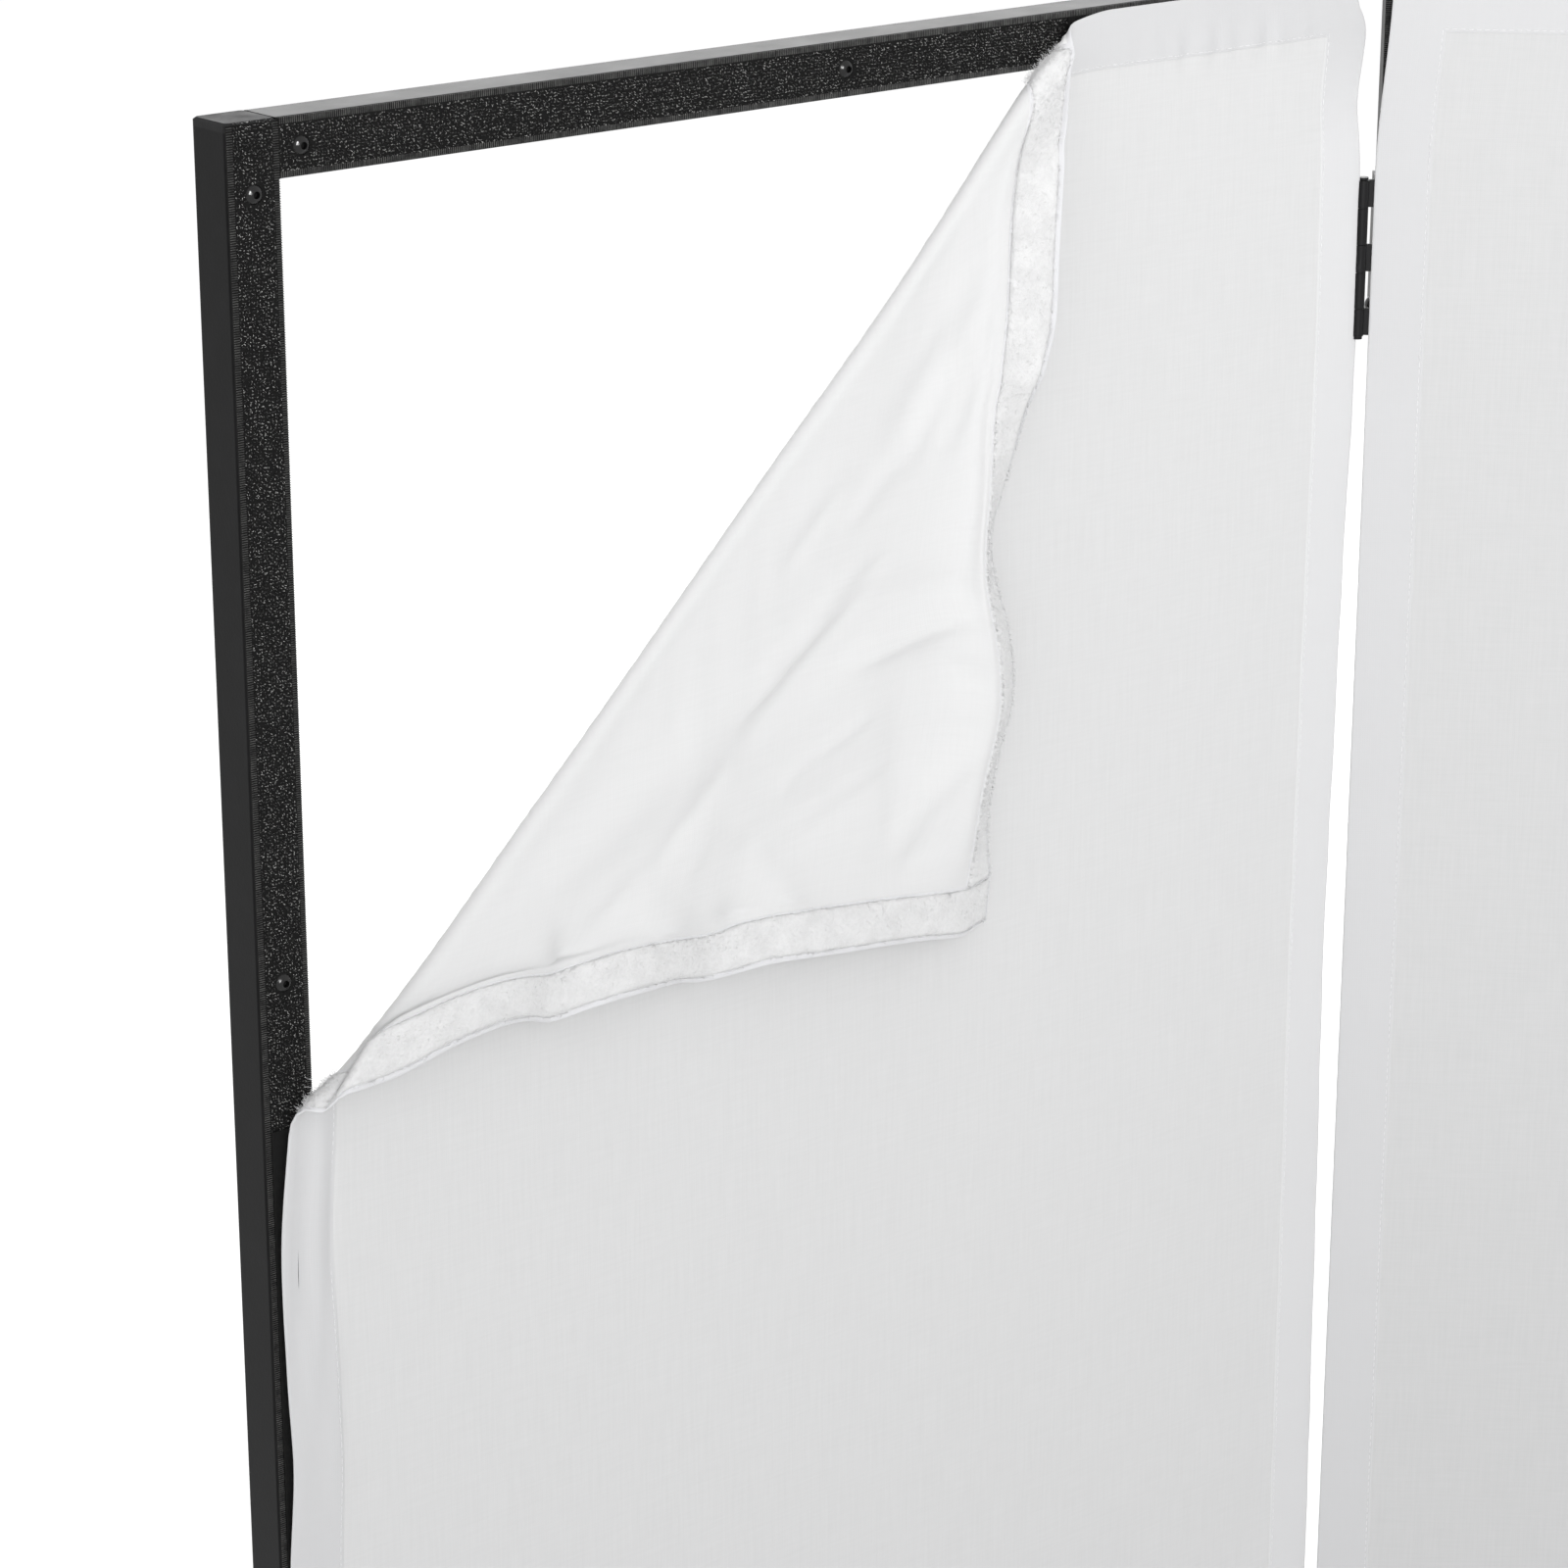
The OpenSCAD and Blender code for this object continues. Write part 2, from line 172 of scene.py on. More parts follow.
def add_studio():
    """Soft light all round, a key from the front left, a wide light from behind, and a small one
    that only glosses."""
    world = bpy.data.worlds.new("studio")
    world.use_nodes = True
    world.node_tree.nodes["Background"].inputs["Color"].default_value = (1, 1, 1, 1)
    world.node_tree.nodes["Background"].inputs["Strength"].default_value = WORLD_STRENGTH
    bpy.context.scene.world = world
    bpy.context.scene.view_settings.view_transform = "Standard"
    add_softbox("key_softbox", *KEY)
    add_softbox("back_softbox", *BACK_LIGHT)
    add_softbox("sparkle_light", *SPARKLE).visible_diffuse = False
    mesh = bpy.data.meshes.new("floor")
    corners = [(x * FLOOR_HALF, y * FLOOR_HALF, 0) for x, y in ((-1, -1), (1, -1), (1, 1), (-1, 1))]
    mesh.from_pydata(corners, [], [(0, 1, 2, 3)])
    floor = bpy.data.objects.new("floor", mesh)
    bpy.context.scene.collection.objects.link(floor)
    mesh.materials.append(floor_material())


# ---------------- materials


class Shader:
    """A material's node tree with short ways to add and link nodes."""

    def __init__(self, name, colour, roughness, **sockets):
        self.material = bpy.data.materials.new(name)
        self.material.use_nodes = True
        self.tree = self.material.node_tree
        self.base = self.tree.nodes["Principled BSDF"]
        self.set("Base Color", (*colour, 1))
        self.set("Roughness", roughness)
        for socket, value in sockets.items():
            self.set(socket.replace("_", " "), value)

    def set(self, socket, value):
        self.base.inputs[socket].default_value = value

    def node(self, kind, **inputs):
        made = self.tree.nodes.new(kind)
        for socket, value in inputs.items():
            self.feed(made.inputs[socket.replace("_", " ")], value)
        return made

    def feed(self, socket, value):
        if isinstance(value, bpy.types.NodeSocket):
            self.tree.links.new(value, socket)
        else:
            socket.default_value = value

    def coords(self, kind, scale=(1, 1, 1), turn=(0, 0, 0)):
        source = self.node("ShaderNodeTexCoord").outputs[kind]
        mapping = self.node("ShaderNodeMapping", Vector=source, Scale=scale, Rotation=turn)
        return mapping.outputs["Vector"]

    def split(self, vector, axis):
        return self.node("ShaderNodeSeparateXYZ", Vector=vector).outputs[axis]

    def noise(self, vector, scale, detail=3.0, rough=0.6):
        inputs = {"Vector": vector, "Scale": scale, "Detail": detail, "Roughness": rough}
        return self.node("ShaderNodeTexNoise", **inputs).outputs["Fac"]

    def waves(self, vector, scale, distortion=0.0, direction="X"):
        made = self.node("ShaderNodeTexWave", Vector=vector, Scale=scale, Distortion=distortion)
        made.bands_direction = direction
        return made.outputs["Fac"]

    def math(self, operation, a, b=0.5):
        made = self.tree.nodes.new("ShaderNodeMath")
        made.operation = operation
        self.feed(made.inputs[0], a)
        self.feed(made.inputs[1], b)
        return made.outputs[0]

    def ramp(self, factor, low, high, low_value, high_value):
        """factor from low to high, as a value from low_value to high_value."""
        made = self.tree.nodes.new("ShaderNodeMapRange")
        for i, value in enumerate((factor, low, high, low_value, high_value)):
            self.feed(made.inputs[i], value)
        return made.outputs[0]

    def mix(self, factor, colour_a, colour_b):
        made = self.tree.nodes.new("ShaderNodeMix")
        made.data_type = "RGBA"
        self.feed(made.inputs["Factor"], factor)
        for socket, colour in (("A", colour_a), ("B", colour_b)):
            found = next(i for i in made.inputs if i.name == socket and i.type == "RGBA")
            self.feed(found, colour if isinstance(colour, bpy.types.NodeSocket) else (*colour, 1))
        return next(o for o in made.outputs if o.type == "RGBA")

    def wear(self, socket, value):
        self.feed(self.base.inputs[socket], value)

    def shade(self, factor, low, high, colour_a, colour_b):
        """Base colour from colour_a to colour_b as the factor goes from low to high."""
        self.wear("Base Color", self.mix(self.ramp(factor, low, high, 0, 1), colour_a, colour_b))

    def grain(self, height, depth, strength=1):
        """Relief in the surface, as deep as depth in mm."""
        self.wear("Normal", self.node(
            "ShaderNodeBump", Height=height, Distance=depth * MM, Strength=strength
        ).outputs["Normal"])

    def weigh(self, *parts):
        """The sum of two values, each given as (value, weight)."""
        return self.math("ADD", *(self.math("MULTIPLY", *part) for part in parts))

    def roughen(self, factor, low, high, low_value, high_value):
        self.wear("Roughness", self.ramp(factor, low, high, low_value, high_value))


def floor_material():
    m = Shader("studio_floor", (0.97, 0.97, 0.97), 0.9)
    speck = m.noise(m.coords("Object"), 3)
    m.wear("Base Color", m.mix(speck, (0.965, 0.965, 0.965), (0.975, 0.975, 0.975)))
    return m.material


def paint_material():
    """Black satin powder coat with a fine orange peel and faint handling marks."""
    m = Shader("frame_paint", (0.006, 0.006, 0.0065), 0.42, Specular_IOR_Level=0.1)
    at = m.coords("Object")
    peel = m.noise(at, 900, 2)
    marks = m.noise(at, 60, 5)
    m.shade(marks, 0.45, 0.75, (0.002, 0.002, 0.0022), (0.005, 0.005, 0.0055))
    m.roughen(marks, 0.3, 0.75, 0.4, 0.45)
    m.grain(peel, 0.03)
    return m.material


def cap_material():
    """Moulded plastic with a fine eroded grain."""
    m = Shader("cap_plastic", (0.012, 0.012, 0.0125), 0.6, Specular_IOR_Level=0.1)
    at = m.coords("Object")
    grain = m.noise(at, 1400, 3, 0.7)
    m.wear("Base Color", m.mix(grain, (0.008, 0.008, 0.0085), (0.016, 0.016, 0.0165)))
    m.roughen(m.noise(at, 120), 0.3, 0.7, 0.48, 0.62)
    m.grain(grain, 0.05)
    return m.material


def tape_material():
    """Woven nylon ground of the hook tape, dusty in places."""
    m = Shader("hook_tape_ground", (0.004, 0.004, 0.004), 0.7, Specular_IOR_Level=0.12)
    at = m.coords("Object")
    threads = m.math("MULTIPLY", m.waves(at, 900, 1, "Z"), m.waves(at, 900, 1, "X"))
    dust = m.noise(at, 260, 4)
    m.shade(dust, 0.5, 0.8, (0.003, 0.003, 0.003), (0.009, 0.009, 0.0085))
    m.roughen(dust, 0.3, 0.7, 0.55, 0.8)
    m.grain(threads, 0.08)
    return m.material


def rib_material():
    """The thicker picks of the tape's selvedges, lighter grey than its ground, in patches."""
    m = Shader("hook_tape_rib", (0.03, 0.03, 0.03), 0.5, Specular_IOR_Level=0.3)
    grey_patches = m.noise(m.coords("Object"), 300, 3)
    # Lighter grey patches over the ribs, following a noise.
    m.shade(grey_patches, 0.35, 0.7, (0.03, 0.03, 0.03), (0.09, 0.09, 0.087))
    m.roughen(grey_patches, 0.3, 0.7, 0.4, 0.6)
    return m.material


def hook_material():
    """Black nylon monofilament, with painted glints: some hooks are coloured light grey."""
    m = Shader("hook_nylon_painted_glints", (0.03, 0.03, 0.03), 0.25, Specular_IOR_Level=0.8)
    shade = m.noise(m.coords("Object"), 900, 1)
    # Painted glints: where the noise is high, the hooks turn from black to light grey.
    m.shade(shade, 0.48, 0.62, (0.008, 0.008, 0.008), (0.34, 0.34, 0.33))
    m.roughen(shade, 0.3, 0.7, 0.32, 0.18)
    return m.material


def rivet_material():
    """Gloss black paint on the rivets, a little uneven."""
    m = Shader("rivet_black", (0.006, 0.006, 0.0065), 0.2, Specular_IOR_Level=0.4)
    at = m.coords("Object")
    flow = m.noise(at, 420, 2)
    m.wear("Base Color", m.mix(flow, (0.002, 0.002, 0.002), (0.004, 0.004, 0.004)))
    m.roughen(flow, 0.3, 0.7, 0.12, 0.2)
    m.grain(flow, 0.05)
    return m.material


def hinge_material():
    """Black hinge steel with the coat thinned by rubbing."""
    m = Shader("hinge_black", (0.007, 0.007, 0.0075), 0.42, Specular_IOR_Level=0.15)
    grey_patches = m.noise(m.coords("Object", (1, 1, 0.08)), 380, 5)
    m.shade(grey_patches, 0.62, 0.8, (0.006, 0.006, 0.0065), (0.05, 0.05, 0.052))
    m.roughen(grey_patches, 0.35, 0.75, 0.48, 0.3)
    m.grain(m.noise(m.coords("Object"), 1000, 2), 0.02)
    return m.material


# The scale of the wave textures that puts the cloth's threads 0.83 mm apart
WEAVE_SCALE = 378.93945


def cloth_material(name, tint, streak, hem_tones_and_painted_light):
    """Plain-woven polyester. Its weave follows the flat sheet, which the UV map holds in metres.
    streak is how far the threads' brightness varies. The hems' tints are for the left and
    upper hems, and for the right one. On the first scrim's front the first is painted shade
    and the second a painted highlight; on the other cloths both are the doubled hem's own tone."""
    m = Shader(name, tint, 0.85, Sheen_Weight=0.25, Sheen_Roughness=0.5, Specular_IOR_Level=0.2)
    flat = m.coords("UV")
    warp = m.waves(flat, WEAVE_SCALE, 0.6, "X")
    weft = m.waves(flat, WEAVE_SCALE, 0.6, "Y")
    weave = m.math("MAXIMUM", warp, weft)
    slubs = m.noise(m.coords("UV", (1, 0.035, 1)), 900, 3, 0.7)
    cross = m.noise(m.coords("UV", (0.05, 1, 1)), 900, 2, 0.6)
    cloud = m.noise(flat, 14, 3)
    uneven = m.weigh((slubs, 0.6), (cross, 0.4))
    darker = tuple(c * (1 - streak) for c in tint)
    lighter = tuple(min(c * (1 + streak), 0.97) for c in tint)
    thread = m.mix(m.ramp(uneven, 0.35, 0.65, 0, 1), darker, lighter)
    hem = m.node("ShaderNodeAttribute")
    hem.attribute_name = "hem"
    lower = m.ramp(m.math("ABSOLUTE", m.split(flat, "Y")), HEM_W, 3 * HEM_W, 0, 1)
    # Painted shade and highlight on the hems: the hems take the first tint at the top and left, and
    # turn to the second towards the right.
    painted_light_rightward = m.math("MULTIPLY", lower, m.ramp(m.split(flat, "X"), SCRIM_W / 3, SCRIM_W, 0, 1))
    hem_tone_and_painted_light = m.mix(painted_light_rightward, *hem_tones_and_painted_light)
    doubled = m.mix(m.math("MULTIPLY", hem.outputs["Fac"], 0.7), thread, hem_tone_and_painted_light)
    m.wear("Base Color", m.mix(m.ramp(cloud, 0.3, 0.7, 0.0, 0.12), doubled, darker))
    height = m.weigh((weave, 0.5), (uneven, 1.4))
    m.grain(height, 0.06, 0.5)
    m.roughen(uneven, 0.3, 0.7, 0.8, 0.92)
    return m.material


def loop_material():
    """Brushed white loop pile."""
    m = Shader(
        "loop_tape", (0.58, 0.58, 0.585), 0.95,
        Sheen_Weight=0.3, Sheen_Roughness=0.6, Specular_IOR_Level=0.1,
    )
    at = m.coords("Object")
    pile = m.noise(at, 1500, 5, 0.8)
    tufts = m.noise(at, 800, 3)
    broad = m.noise(at, 110, 4)
    matted = m.weigh((tufts, 0.4), (broad, 0.6))
    m.shade(matted, 0.38, 0.62, (0.51, 0.51, 0.513), (0.58, 0.58, 0.582))
    m.roughen(tufts, 0.3, 0.7, 0.9, 1.0)
    m.grain(m.math("ADD", pile, tufts), 0.35, 0.7)
    return m.material


def pile_material():
    """Single white nylon fibres of the loop pile."""
    m = Shader("loop_pile", (0.62, 0.62, 0.625), 0.6, Sheen_Weight=0.3)
    shade = m.noise(m.coords("Object"), 600, 2)
    m.wear("Base Color", m.mix(shade, (0.53, 0.53, 0.535), (0.62, 0.62, 0.625)))
    m.roughen(shade, 0.3, 0.7, 0.5, 0.75)
    return m.material


def thread_material():
    """Twisted white sewing thread."""
    m = Shader("stitch_thread", (0.64, 0.64, 0.65), 0.6, Sheen_Weight=0.2)
    twist = m.waves(m.coords("Object", (1, 1, 1), (0.5, 0.3, 0.6)), 700, 0.5)
    m.wear("Base Color", m.mix(twist, (0.54, 0.54, 0.55), (0.63, 0.63, 0.635)))
    m.grain(twist, 0.03)
    return m.material


# ---------------- meshes


def add_mesh(name, verts, faces, materials, panel, smooth=True):
    """A mesh piece from points in a panel's axes, which rides on the panel."""
    mesh = bpy.data.meshes.new(name)
    mesh.from_pydata(panel.place(verts).tolist(), [], faces)
    for material in materials:
        mesh.materials.append(material)
    mesh.polygons.foreach_set("use_smooth", [smooth] * len(mesh.polygons))
    mesh.update()
    piece = bpy.data.objects.new(name, mesh)
    bpy.context.scene.collection.objects.link(piece)
    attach(piece, panel.name)
    return piece


def unit(v):
    return v / np.maximum(np.linalg.norm(v, axis=-1, keepdims=True), 1e-12)


def tubes(paths, radii, sides):
    """Closed round tubes along N paths of K points, as (points, faces)."""
    paths = np.asarray(paths, float)
    count, steps = paths.shape[:2]
    along = unit(np.gradient(paths, axis=1))
    chord = unit(paths[:, -1] - paths[:, 0])[:, None, :]
    helper = np.where(np.abs(chord[..., 2:3]) < 0.7, [[[0, 0, 1.0]]], [[[1.0, 0, 0]]])
    side = unit(np.cross(along, np.broadcast_to(helper, along.shape)))
    other = np.cross(along, side)
    angle = np.arange(sides) / sides * 2 * math.pi
    radii = np.broadcast_to(np.asarray(radii, float), (count, steps))[..., None, None]
    cos, sin = np.cos(angle)[:, None], np.sin(angle)[:, None]
    ring = cos * side[:, :, None, :] + sin * other[:, :, None, :]
    points = (paths[:, :, None, :] + radii * ring).reshape(-1, 3)
    return points, tube_faces(np.arange(count) * steps * sides, steps, sides)


def tube_faces(starts, steps, sides):
    """The faces of closed tubes made of rings of points, each tube numbered from its start."""
    base = starts[:, None, None]
    k = (np.arange(steps - 1) * sides)[None, :, None]
    i = np.arange(sides)[None, None, :]
    j = (i + 1) % sides
    quads = np.stack([base + k + i, base + k + j, base + k + sides + j, base + k + sides + i], -1)
    ring = np.arange(sides)
    first = (base[:, :, 0] + ring[::-1]).tolist()
    last = (base[:, :, 0] + (steps - 1) * sides + ring).tolist()
    return quads.reshape(-1, 4).tolist() + first + last


def grid_quads(index):
    """The quads of a grid of vertex numbers."""
    corners = index[:-1, :-1], index[1:, :-1], index[1:, 1:], index[:-1, 1:]
    return np.stack(corners, -1).reshape(-1, 4)


def rim_quads(index):
    """The quads that join a grid's rim to that of the same grid's other layer, numbered on."""
    rim = np.concatenate([index[0, :-1], index[:-1, -1], index[-1, :0:-1], index[:0:-1, 0]])
    after = np.roll(rim, -1)
    return np.stack([rim, after, after + index.size, rim + index.size], -1)


# ---------------- cloth

# Half the width over which a hem's second layer ends, and the width over which the rim thins
HEM_STEP = 0.3 * MM
RIM_ROUND = 0.4 * MM


class Cloth:
    """A scrim's middle surface: a coarse grid of points (u, v, z) over the flat sheet (s, t),
    smoothly interpolated between them. relief(s, t, place) is the height of the fine
    wrinkles over it, towards the panel's front."""

    def __init__(self, panel, points, relief):
        self.panel = panel
        self.points = points
        self.relief = relief
        self.rows, self.cols = points.shape[:2]

    def at(self, s, t):
        x = np.clip(np.asarray(s) / SCRIM_W, 0, 1) * (self.cols - 1)
        y = np.clip(np.asarray(t) / SCRIM_H, 0, 1) * (self.rows - 1)
        i = np.minimum(x.astype(int), self.cols - 2)
        j = np.minimum(y.astype(int), self.rows - 2)
        wx, wy = self.weights(x - i), self.weights(y - j)
        total = np.zeros(x.shape + (3,))
        for a in range(4):
            row = np.clip(j + a - 1, 0, self.rows - 1)
            for b in range(4):
                col = np.clip(i + b - 1, 0, self.cols - 1)
                total += (wy[a] * wx[b])[..., None] * self.points[row, col]
        total[..., 1] -= self.relief(s, t, total)
        return total

    @staticmethod
    def weights(f):
        """Catmull-Rom weights of the four grid points around a place."""
        return (
            ((-f + 2) * f - 1) * f / 2,
            ((3 * f - 5) * f * f + 2) / 2,
            ((-3 * f + 4) * f + 1) * f / 2,
            (f - 1) * f * f / 2,
        )

    def axes(self, s, t):
        """Unit directions along s, along t and out of the front."""
        step = 1 * MM
        along_s = unit(self.at(s + step, t) - self.at(s - step, t))
        along_t = unit(self.at(s, t + step) - self.at(s, t - step))
        return along_s, along_t, unit(np.cross(along_t, along_s))

    def off(self, s, t, lift):
        """Points at a height over the front, or behind the back where lift is negative."""
        return self.at(s, t) + np.asarray(lift)[..., None] * self.axes(s, t)[2]


def to_edge(s, t):
    """How far a place on the flat sheet is from its nearest edge."""
    return np.minimum(np.minimum(s, SCRIM_W - s), np.minimum(t, SCRIM_H - t))


def grid_lines(length, fine):
    """Stations across a sheet: close together at its edges and hems."""
    hem = np.array([0, 0.4, 1.5, 4, 8, 12, 16, 19.5]) * MM
    near = np.concatenate([hem, HEM_W + HEM_STEP * np.arange(-2, 3)])
    start = HEM_W + 3 * MM
    count = int(round((length - 2 * start) / fine))
    inner = np.linspace(start, length - start, count + 1)
    return np.concatenate([near, inner, length - near[::-1]])


def add_cloth(name, cloth, materials, fine_s, fine_t):
    """The solid sheet: front and back faces with the doubled hem's thickness and a closed rim."""
    s_line, t_line = grid_lines(SCRIM_W, fine_s), grid_lines(SCRIM_H, fine_t)
    s, t = np.meshgrid(s_line, t_line)
    edge = to_edge(s, t)
    hem = np.clip((HEM_W + HEM_STEP - edge) / (2 * HEM_STEP), 0, 1)
    half = (CLOTH_T + (SCRIM_T - CLOTH_T) * hem) / 2 * np.sqrt(np.clip(edge / RIM_ROUND, 0.2, 1))
    front, back = cloth.off(s, t, half), cloth.off(s, t, -half)
    index = np.arange(s.size).reshape(s.shape)
    quad = grid_quads(index)
    faces = np.concatenate([quad, quad[:, ::-1] + s.size, rim_quads(index)])
    verts = np.concatenate([front.reshape(-1, 3), back.reshape(-1, 3)])
    piece = add_mesh(name, verts, faces.tolist(), materials, cloth.panel)
    mesh = piece.data
    which = np.zeros(len(faces), np.int32)
    which[len(quad):2 * len(quad)] = 1
    mesh.polygons.foreach_set("material_index", which)
    flat = np.stack([s.ravel(), -t.ravel()], -1)
    flat = np.concatenate([flat, flat])
    loops = np.zeros(len(mesh.loops), np.int32)
    mesh.loops.foreach_get("vertex_index", loops)
    mesh.uv_layers.new(name="flat").data.foreach_set("uv", flat[loops].astype(np.float32).ravel())
    attribute = mesh.attributes.new("hem", "FLOAT", "POINT")
    attribute.data.foreach_set("value", np.concatenate([hem.ravel()] * 2).astype(np.float32))
    return piece


def ripple(x, waves):
    """A sum of sine waves along x: (length, height, phase) each."""
    return sum(h * np.sin(2 * math.pi * x / l + p) for l, h, p in waves)


# The roll of the crease: its radius, how far the corner stands off the scrim beyond it, the
# distance in which it gets there, and how much the wrinkles shorten the corner
ROLL = 3.5 * MM
REST_LIFT = 9 * MM
SETTLE = 70 * MM
GATHER = 0.78
# The roll is held up to this share of its half turn, and the corner hangs free beyond it
HELD_TURN = 0.9
# How far beyond the crease the right and the lower hem take up their own course
TURN_IN_RIGHT = 36 * MM
TURN_IN_LOWER = 15 * MM
# How far in from a hem the loose cloth still follows it before the simulation
HEM_REACH = 45 * MM
GRID = 5 * MM
SIM_FRAMES = 36
# The scrim is stretched onto its panel, so the loose corner shrinks back to this share
SHRINK = 0.92
# The simulation's wall, the pressed scrim: how far past the crease's ends it starts and how
# far in front of the scrim's middle it lies
WALL_INSET = 20 * MM
WALL_OUT = 1.5 * MM

# The hem that was the top edge, hanging down on the right: distance along it from the
# crease, then across the panel, out from the scrim's back plane, and the turn of its band
# towards the viewer in degrees
RIGHT_HEM = (
    (0, 336, 9, 30), (45, 330, 10, 38), (82, 327, 11, 37), (113, 325, 12, 30), (129, 321, 14, 14),
    (143, 317, 16, -2), (162, 316, 18, -22), (179, 314, 20, -36), (191, 312, 21, -44),
    (210, 311, 23, -40), (230, 316, 23, -36), (260, 320, 22, -36), (290, 313, 20, -36),
    (320, 311, 16, -30), (332, 311, 14, -22),
)
# The hem that was the left edge, hanging level below: distance along it from the crease,
# then down from the panel's top, out, and the turn of its band towards the viewer
LOWER_HEM = (
    (0, 318, 9, 0), (45, 314, 12, 8), (70, 308, 15, 4), (103, 308, 16, -6), (119, 313, 11, -2),
    (134, 309, 14, 8), (158, 308, 17, 4), (176, 311, 16, -8), (193, 315, 11, -4), (215, 313, 13, 6),
    (262, 317, 15, 4), (300, 322, 15, -2), (325, 327, 14, -6),
)
# How far the crease bows towards the panel's middle: the share of the way from its left
# end to its upper end, and the bow
CREASE_BOW = ((0, 2.3), (0.08, 8.2), (0.3, 11.6), (0.6, 12.4), (0.78, 13.1), (0.88, 10.6), (1, 5.3))
# The pulls at the two ends of the crease: the (s, t) of the end, then the pull across and how
# far it reaches, and the pull upwards and how far that reaches
END_PULLS = ((CREASE_S / MM, 0, 5, 60, -6, 34), (0, CREASE_T / MM, 7, 60, 6, 40))
# How far the side edges of the first scrim stray to the right: distance down, and the stray
RIGHT_EDGE = (
    (0, -5), (11, -4), (16, -0.8), (21, 0.8), (30, 0.2), (44, -1.9), (52, -2.3), (62, -1),
    (75, 0.4), (110, 1.6), (153, 2.2), (235, 0.1), (319, -1.1), (405, -2.3), (495, -0.9),
    (587, 0.3), (682, 1.5), (800, 0.3), (950, -0.8), (1142, 0),
)
LEFT_EDGE = (
    (0, 0), (347, 0), (442, 0.4), (481, 1.7), (519, -1.1), (600, 0.6), (760, -0.7), (950, 0.5),
    (1142, 0),
)
EDGE_REACH = 55 * MM
# Wrinkles of the hanging corner: from (across, down) to (across, down), half width, height
CORNER_FOLDS = (
    (70, 300, 235, 226, 13, 2.2), (195, 240, 272, 190, 5, 1.3), (185, 252, 280, 212, 9, -1.6),
    (148, 244, 178, 226, 3.5, 0.7), (240, 232, 322, 216, 6, 1.6), (245, 205, 330, 208, 7, -1.3),
    (278, 166, 316, 112, 4, 1.1), (250, 182, 290, 146, 4, 0.9), (270, 160, 318, 96, 8, -1.4),
    (296, 130, 324, 80, 3.5, 0.9), (268, 312, 318, 266, 6, 1.8), (190, 300, 300, 262, 9, -1.5),
    (205, 294, 290, 264, 4, 1.0), (196, 160, 238, 150, 4, 0.7), (110, 262, 150, 244, 4, 0.6),
    (215, 176, 262, 148, 10, 1.2), (150, 292, 176, 318, 9, 1.6), (205, 286, 226, 312, 8, 1.4),
    (90, 306, 108, 330, 8, 1.2), (286, 226, 322, 250, 5, -1.4), (120, 300, 200, 276, 6, 0.8),
    (198, 246, 248, 208, 2.5, 0.9), (240, 211, 282, 186, 2.5, -0.8), (146, 304, 206, 248, 4, -1.2),
    (200, 254, 280, 190, 3.5, -1.1), (196, 243, 230, 224, 2.5, 0.7), (232, 264, 272, 248, 2.5, 1.0),
    (254, 231, 320, 217, 2.5, 1.0), (288, 309, 311, 282, 3.5, 0.8), (275, 320, 312, 278, 4, -0.8),
    (285, 130, 323, 75, 3, 1.0), (222, 193, 258, 155, 3, -0.9), (202, 160, 228, 154, 2.5, -0.8),
    (299, 162, 318, 118, 4, 1.5), (131, 306, 164, 282, 3.5, -0.9), (178, 274, 210, 291, 2.5, 0.7),
    (218, 275, 238, 259, 2.5, 0.7), (170, 300, 190, 280, 2.5, 0.7), (120, 296, 123, 340, 5, -2.6),
    (190, 306, 219, 338, 5, -3.0), (216, 304, 243, 340, 6, 2.6), (318, 51, 362, 40, 5, -2.2),
    (314, 132, 352, 129, 5, 2.2),
)
# The same for the hem of the first scrim under its left peel and along its top
HEM_FOLDS = (
    (17, 325, 7, 460, 2.5, -2.2), (24, 325, 13, 480, 2.5, 1.8), (26, 346, 22, 430, 2, -1.0),
    (24, 420, 23, 520, 2.5, 0.9), (9, 450, 8, 560, 1.6, 0.7), (366, 8, 384, 20, 4, 0.5),
)
PUCKERS = ((14 * MM, 0.5 * MM, 0.4), (9 * MM, 0.2 * MM, 2.0), (23 * MM, 0.3 * MM, 1.1))
HEM_WAVES = ((61 * MM, 0.12 * MM, 0.7), (37 * MM, 0.07 * MM, 2.2))


def smooth_table(x, table, column):
    """A smooth curve through one column of a table, at x in the units of its first column."""
    knots = np.array([row[0] for row in table], float)
    values = np.array([row[column] for row in table], float)
    slope = np.gradient(values, knots)
    x = np.clip(x, knots[0], knots[-1])
    i = np.clip(np.searchsorted(knots, x) - 1, 0, len(knots) - 2)
    span = knots[i + 1] - knots[i]
    f = (x - knots[i]) / span
    rise = values[i] * (1 - f) ** 2 * (1 + 2 * f) + values[i + 1] * f * f * (3 - 2 * f)
    return rise + span * f * (1 - f) * (slope[i] * (1 - f) - slope[i + 1] * f)


# The crease's upper and left ends in (s, t), and the directions along it and out of it
CREASE_ENDS = np.array([[CREASE_S, 0.0], [0.0, CREASE_T]])
CREASE_SPAN = CREASE_ENDS[0] - CREASE_ENDS[1]
CREASE_L = np.linalg.norm(CREASE_SPAN)
CREASE_RUN = CREASE_SPAN / CREASE_L
CREASE_OUT = np.array([CREASE_RUN[1], -CREASE_RUN[0]])


def crease_bow(share):
    """How far the crease bows at a share of the way along it."""
    return smooth_table(np.clip(share, 0, 1), CREASE_BOW, 1) * MM


def crease_top(share):
    """The (s, t) that lies outermost on the roll, at a share of the way along the crease."""
    aside = (math.pi / 2 - 1) * ROLL - crease_bow(share)
    place = CREASE_ENDS[1] + share[..., None] * CREASE_SPAN + aside[..., None] * CREASE_OUT
    return place[..., 0], place[..., 1]


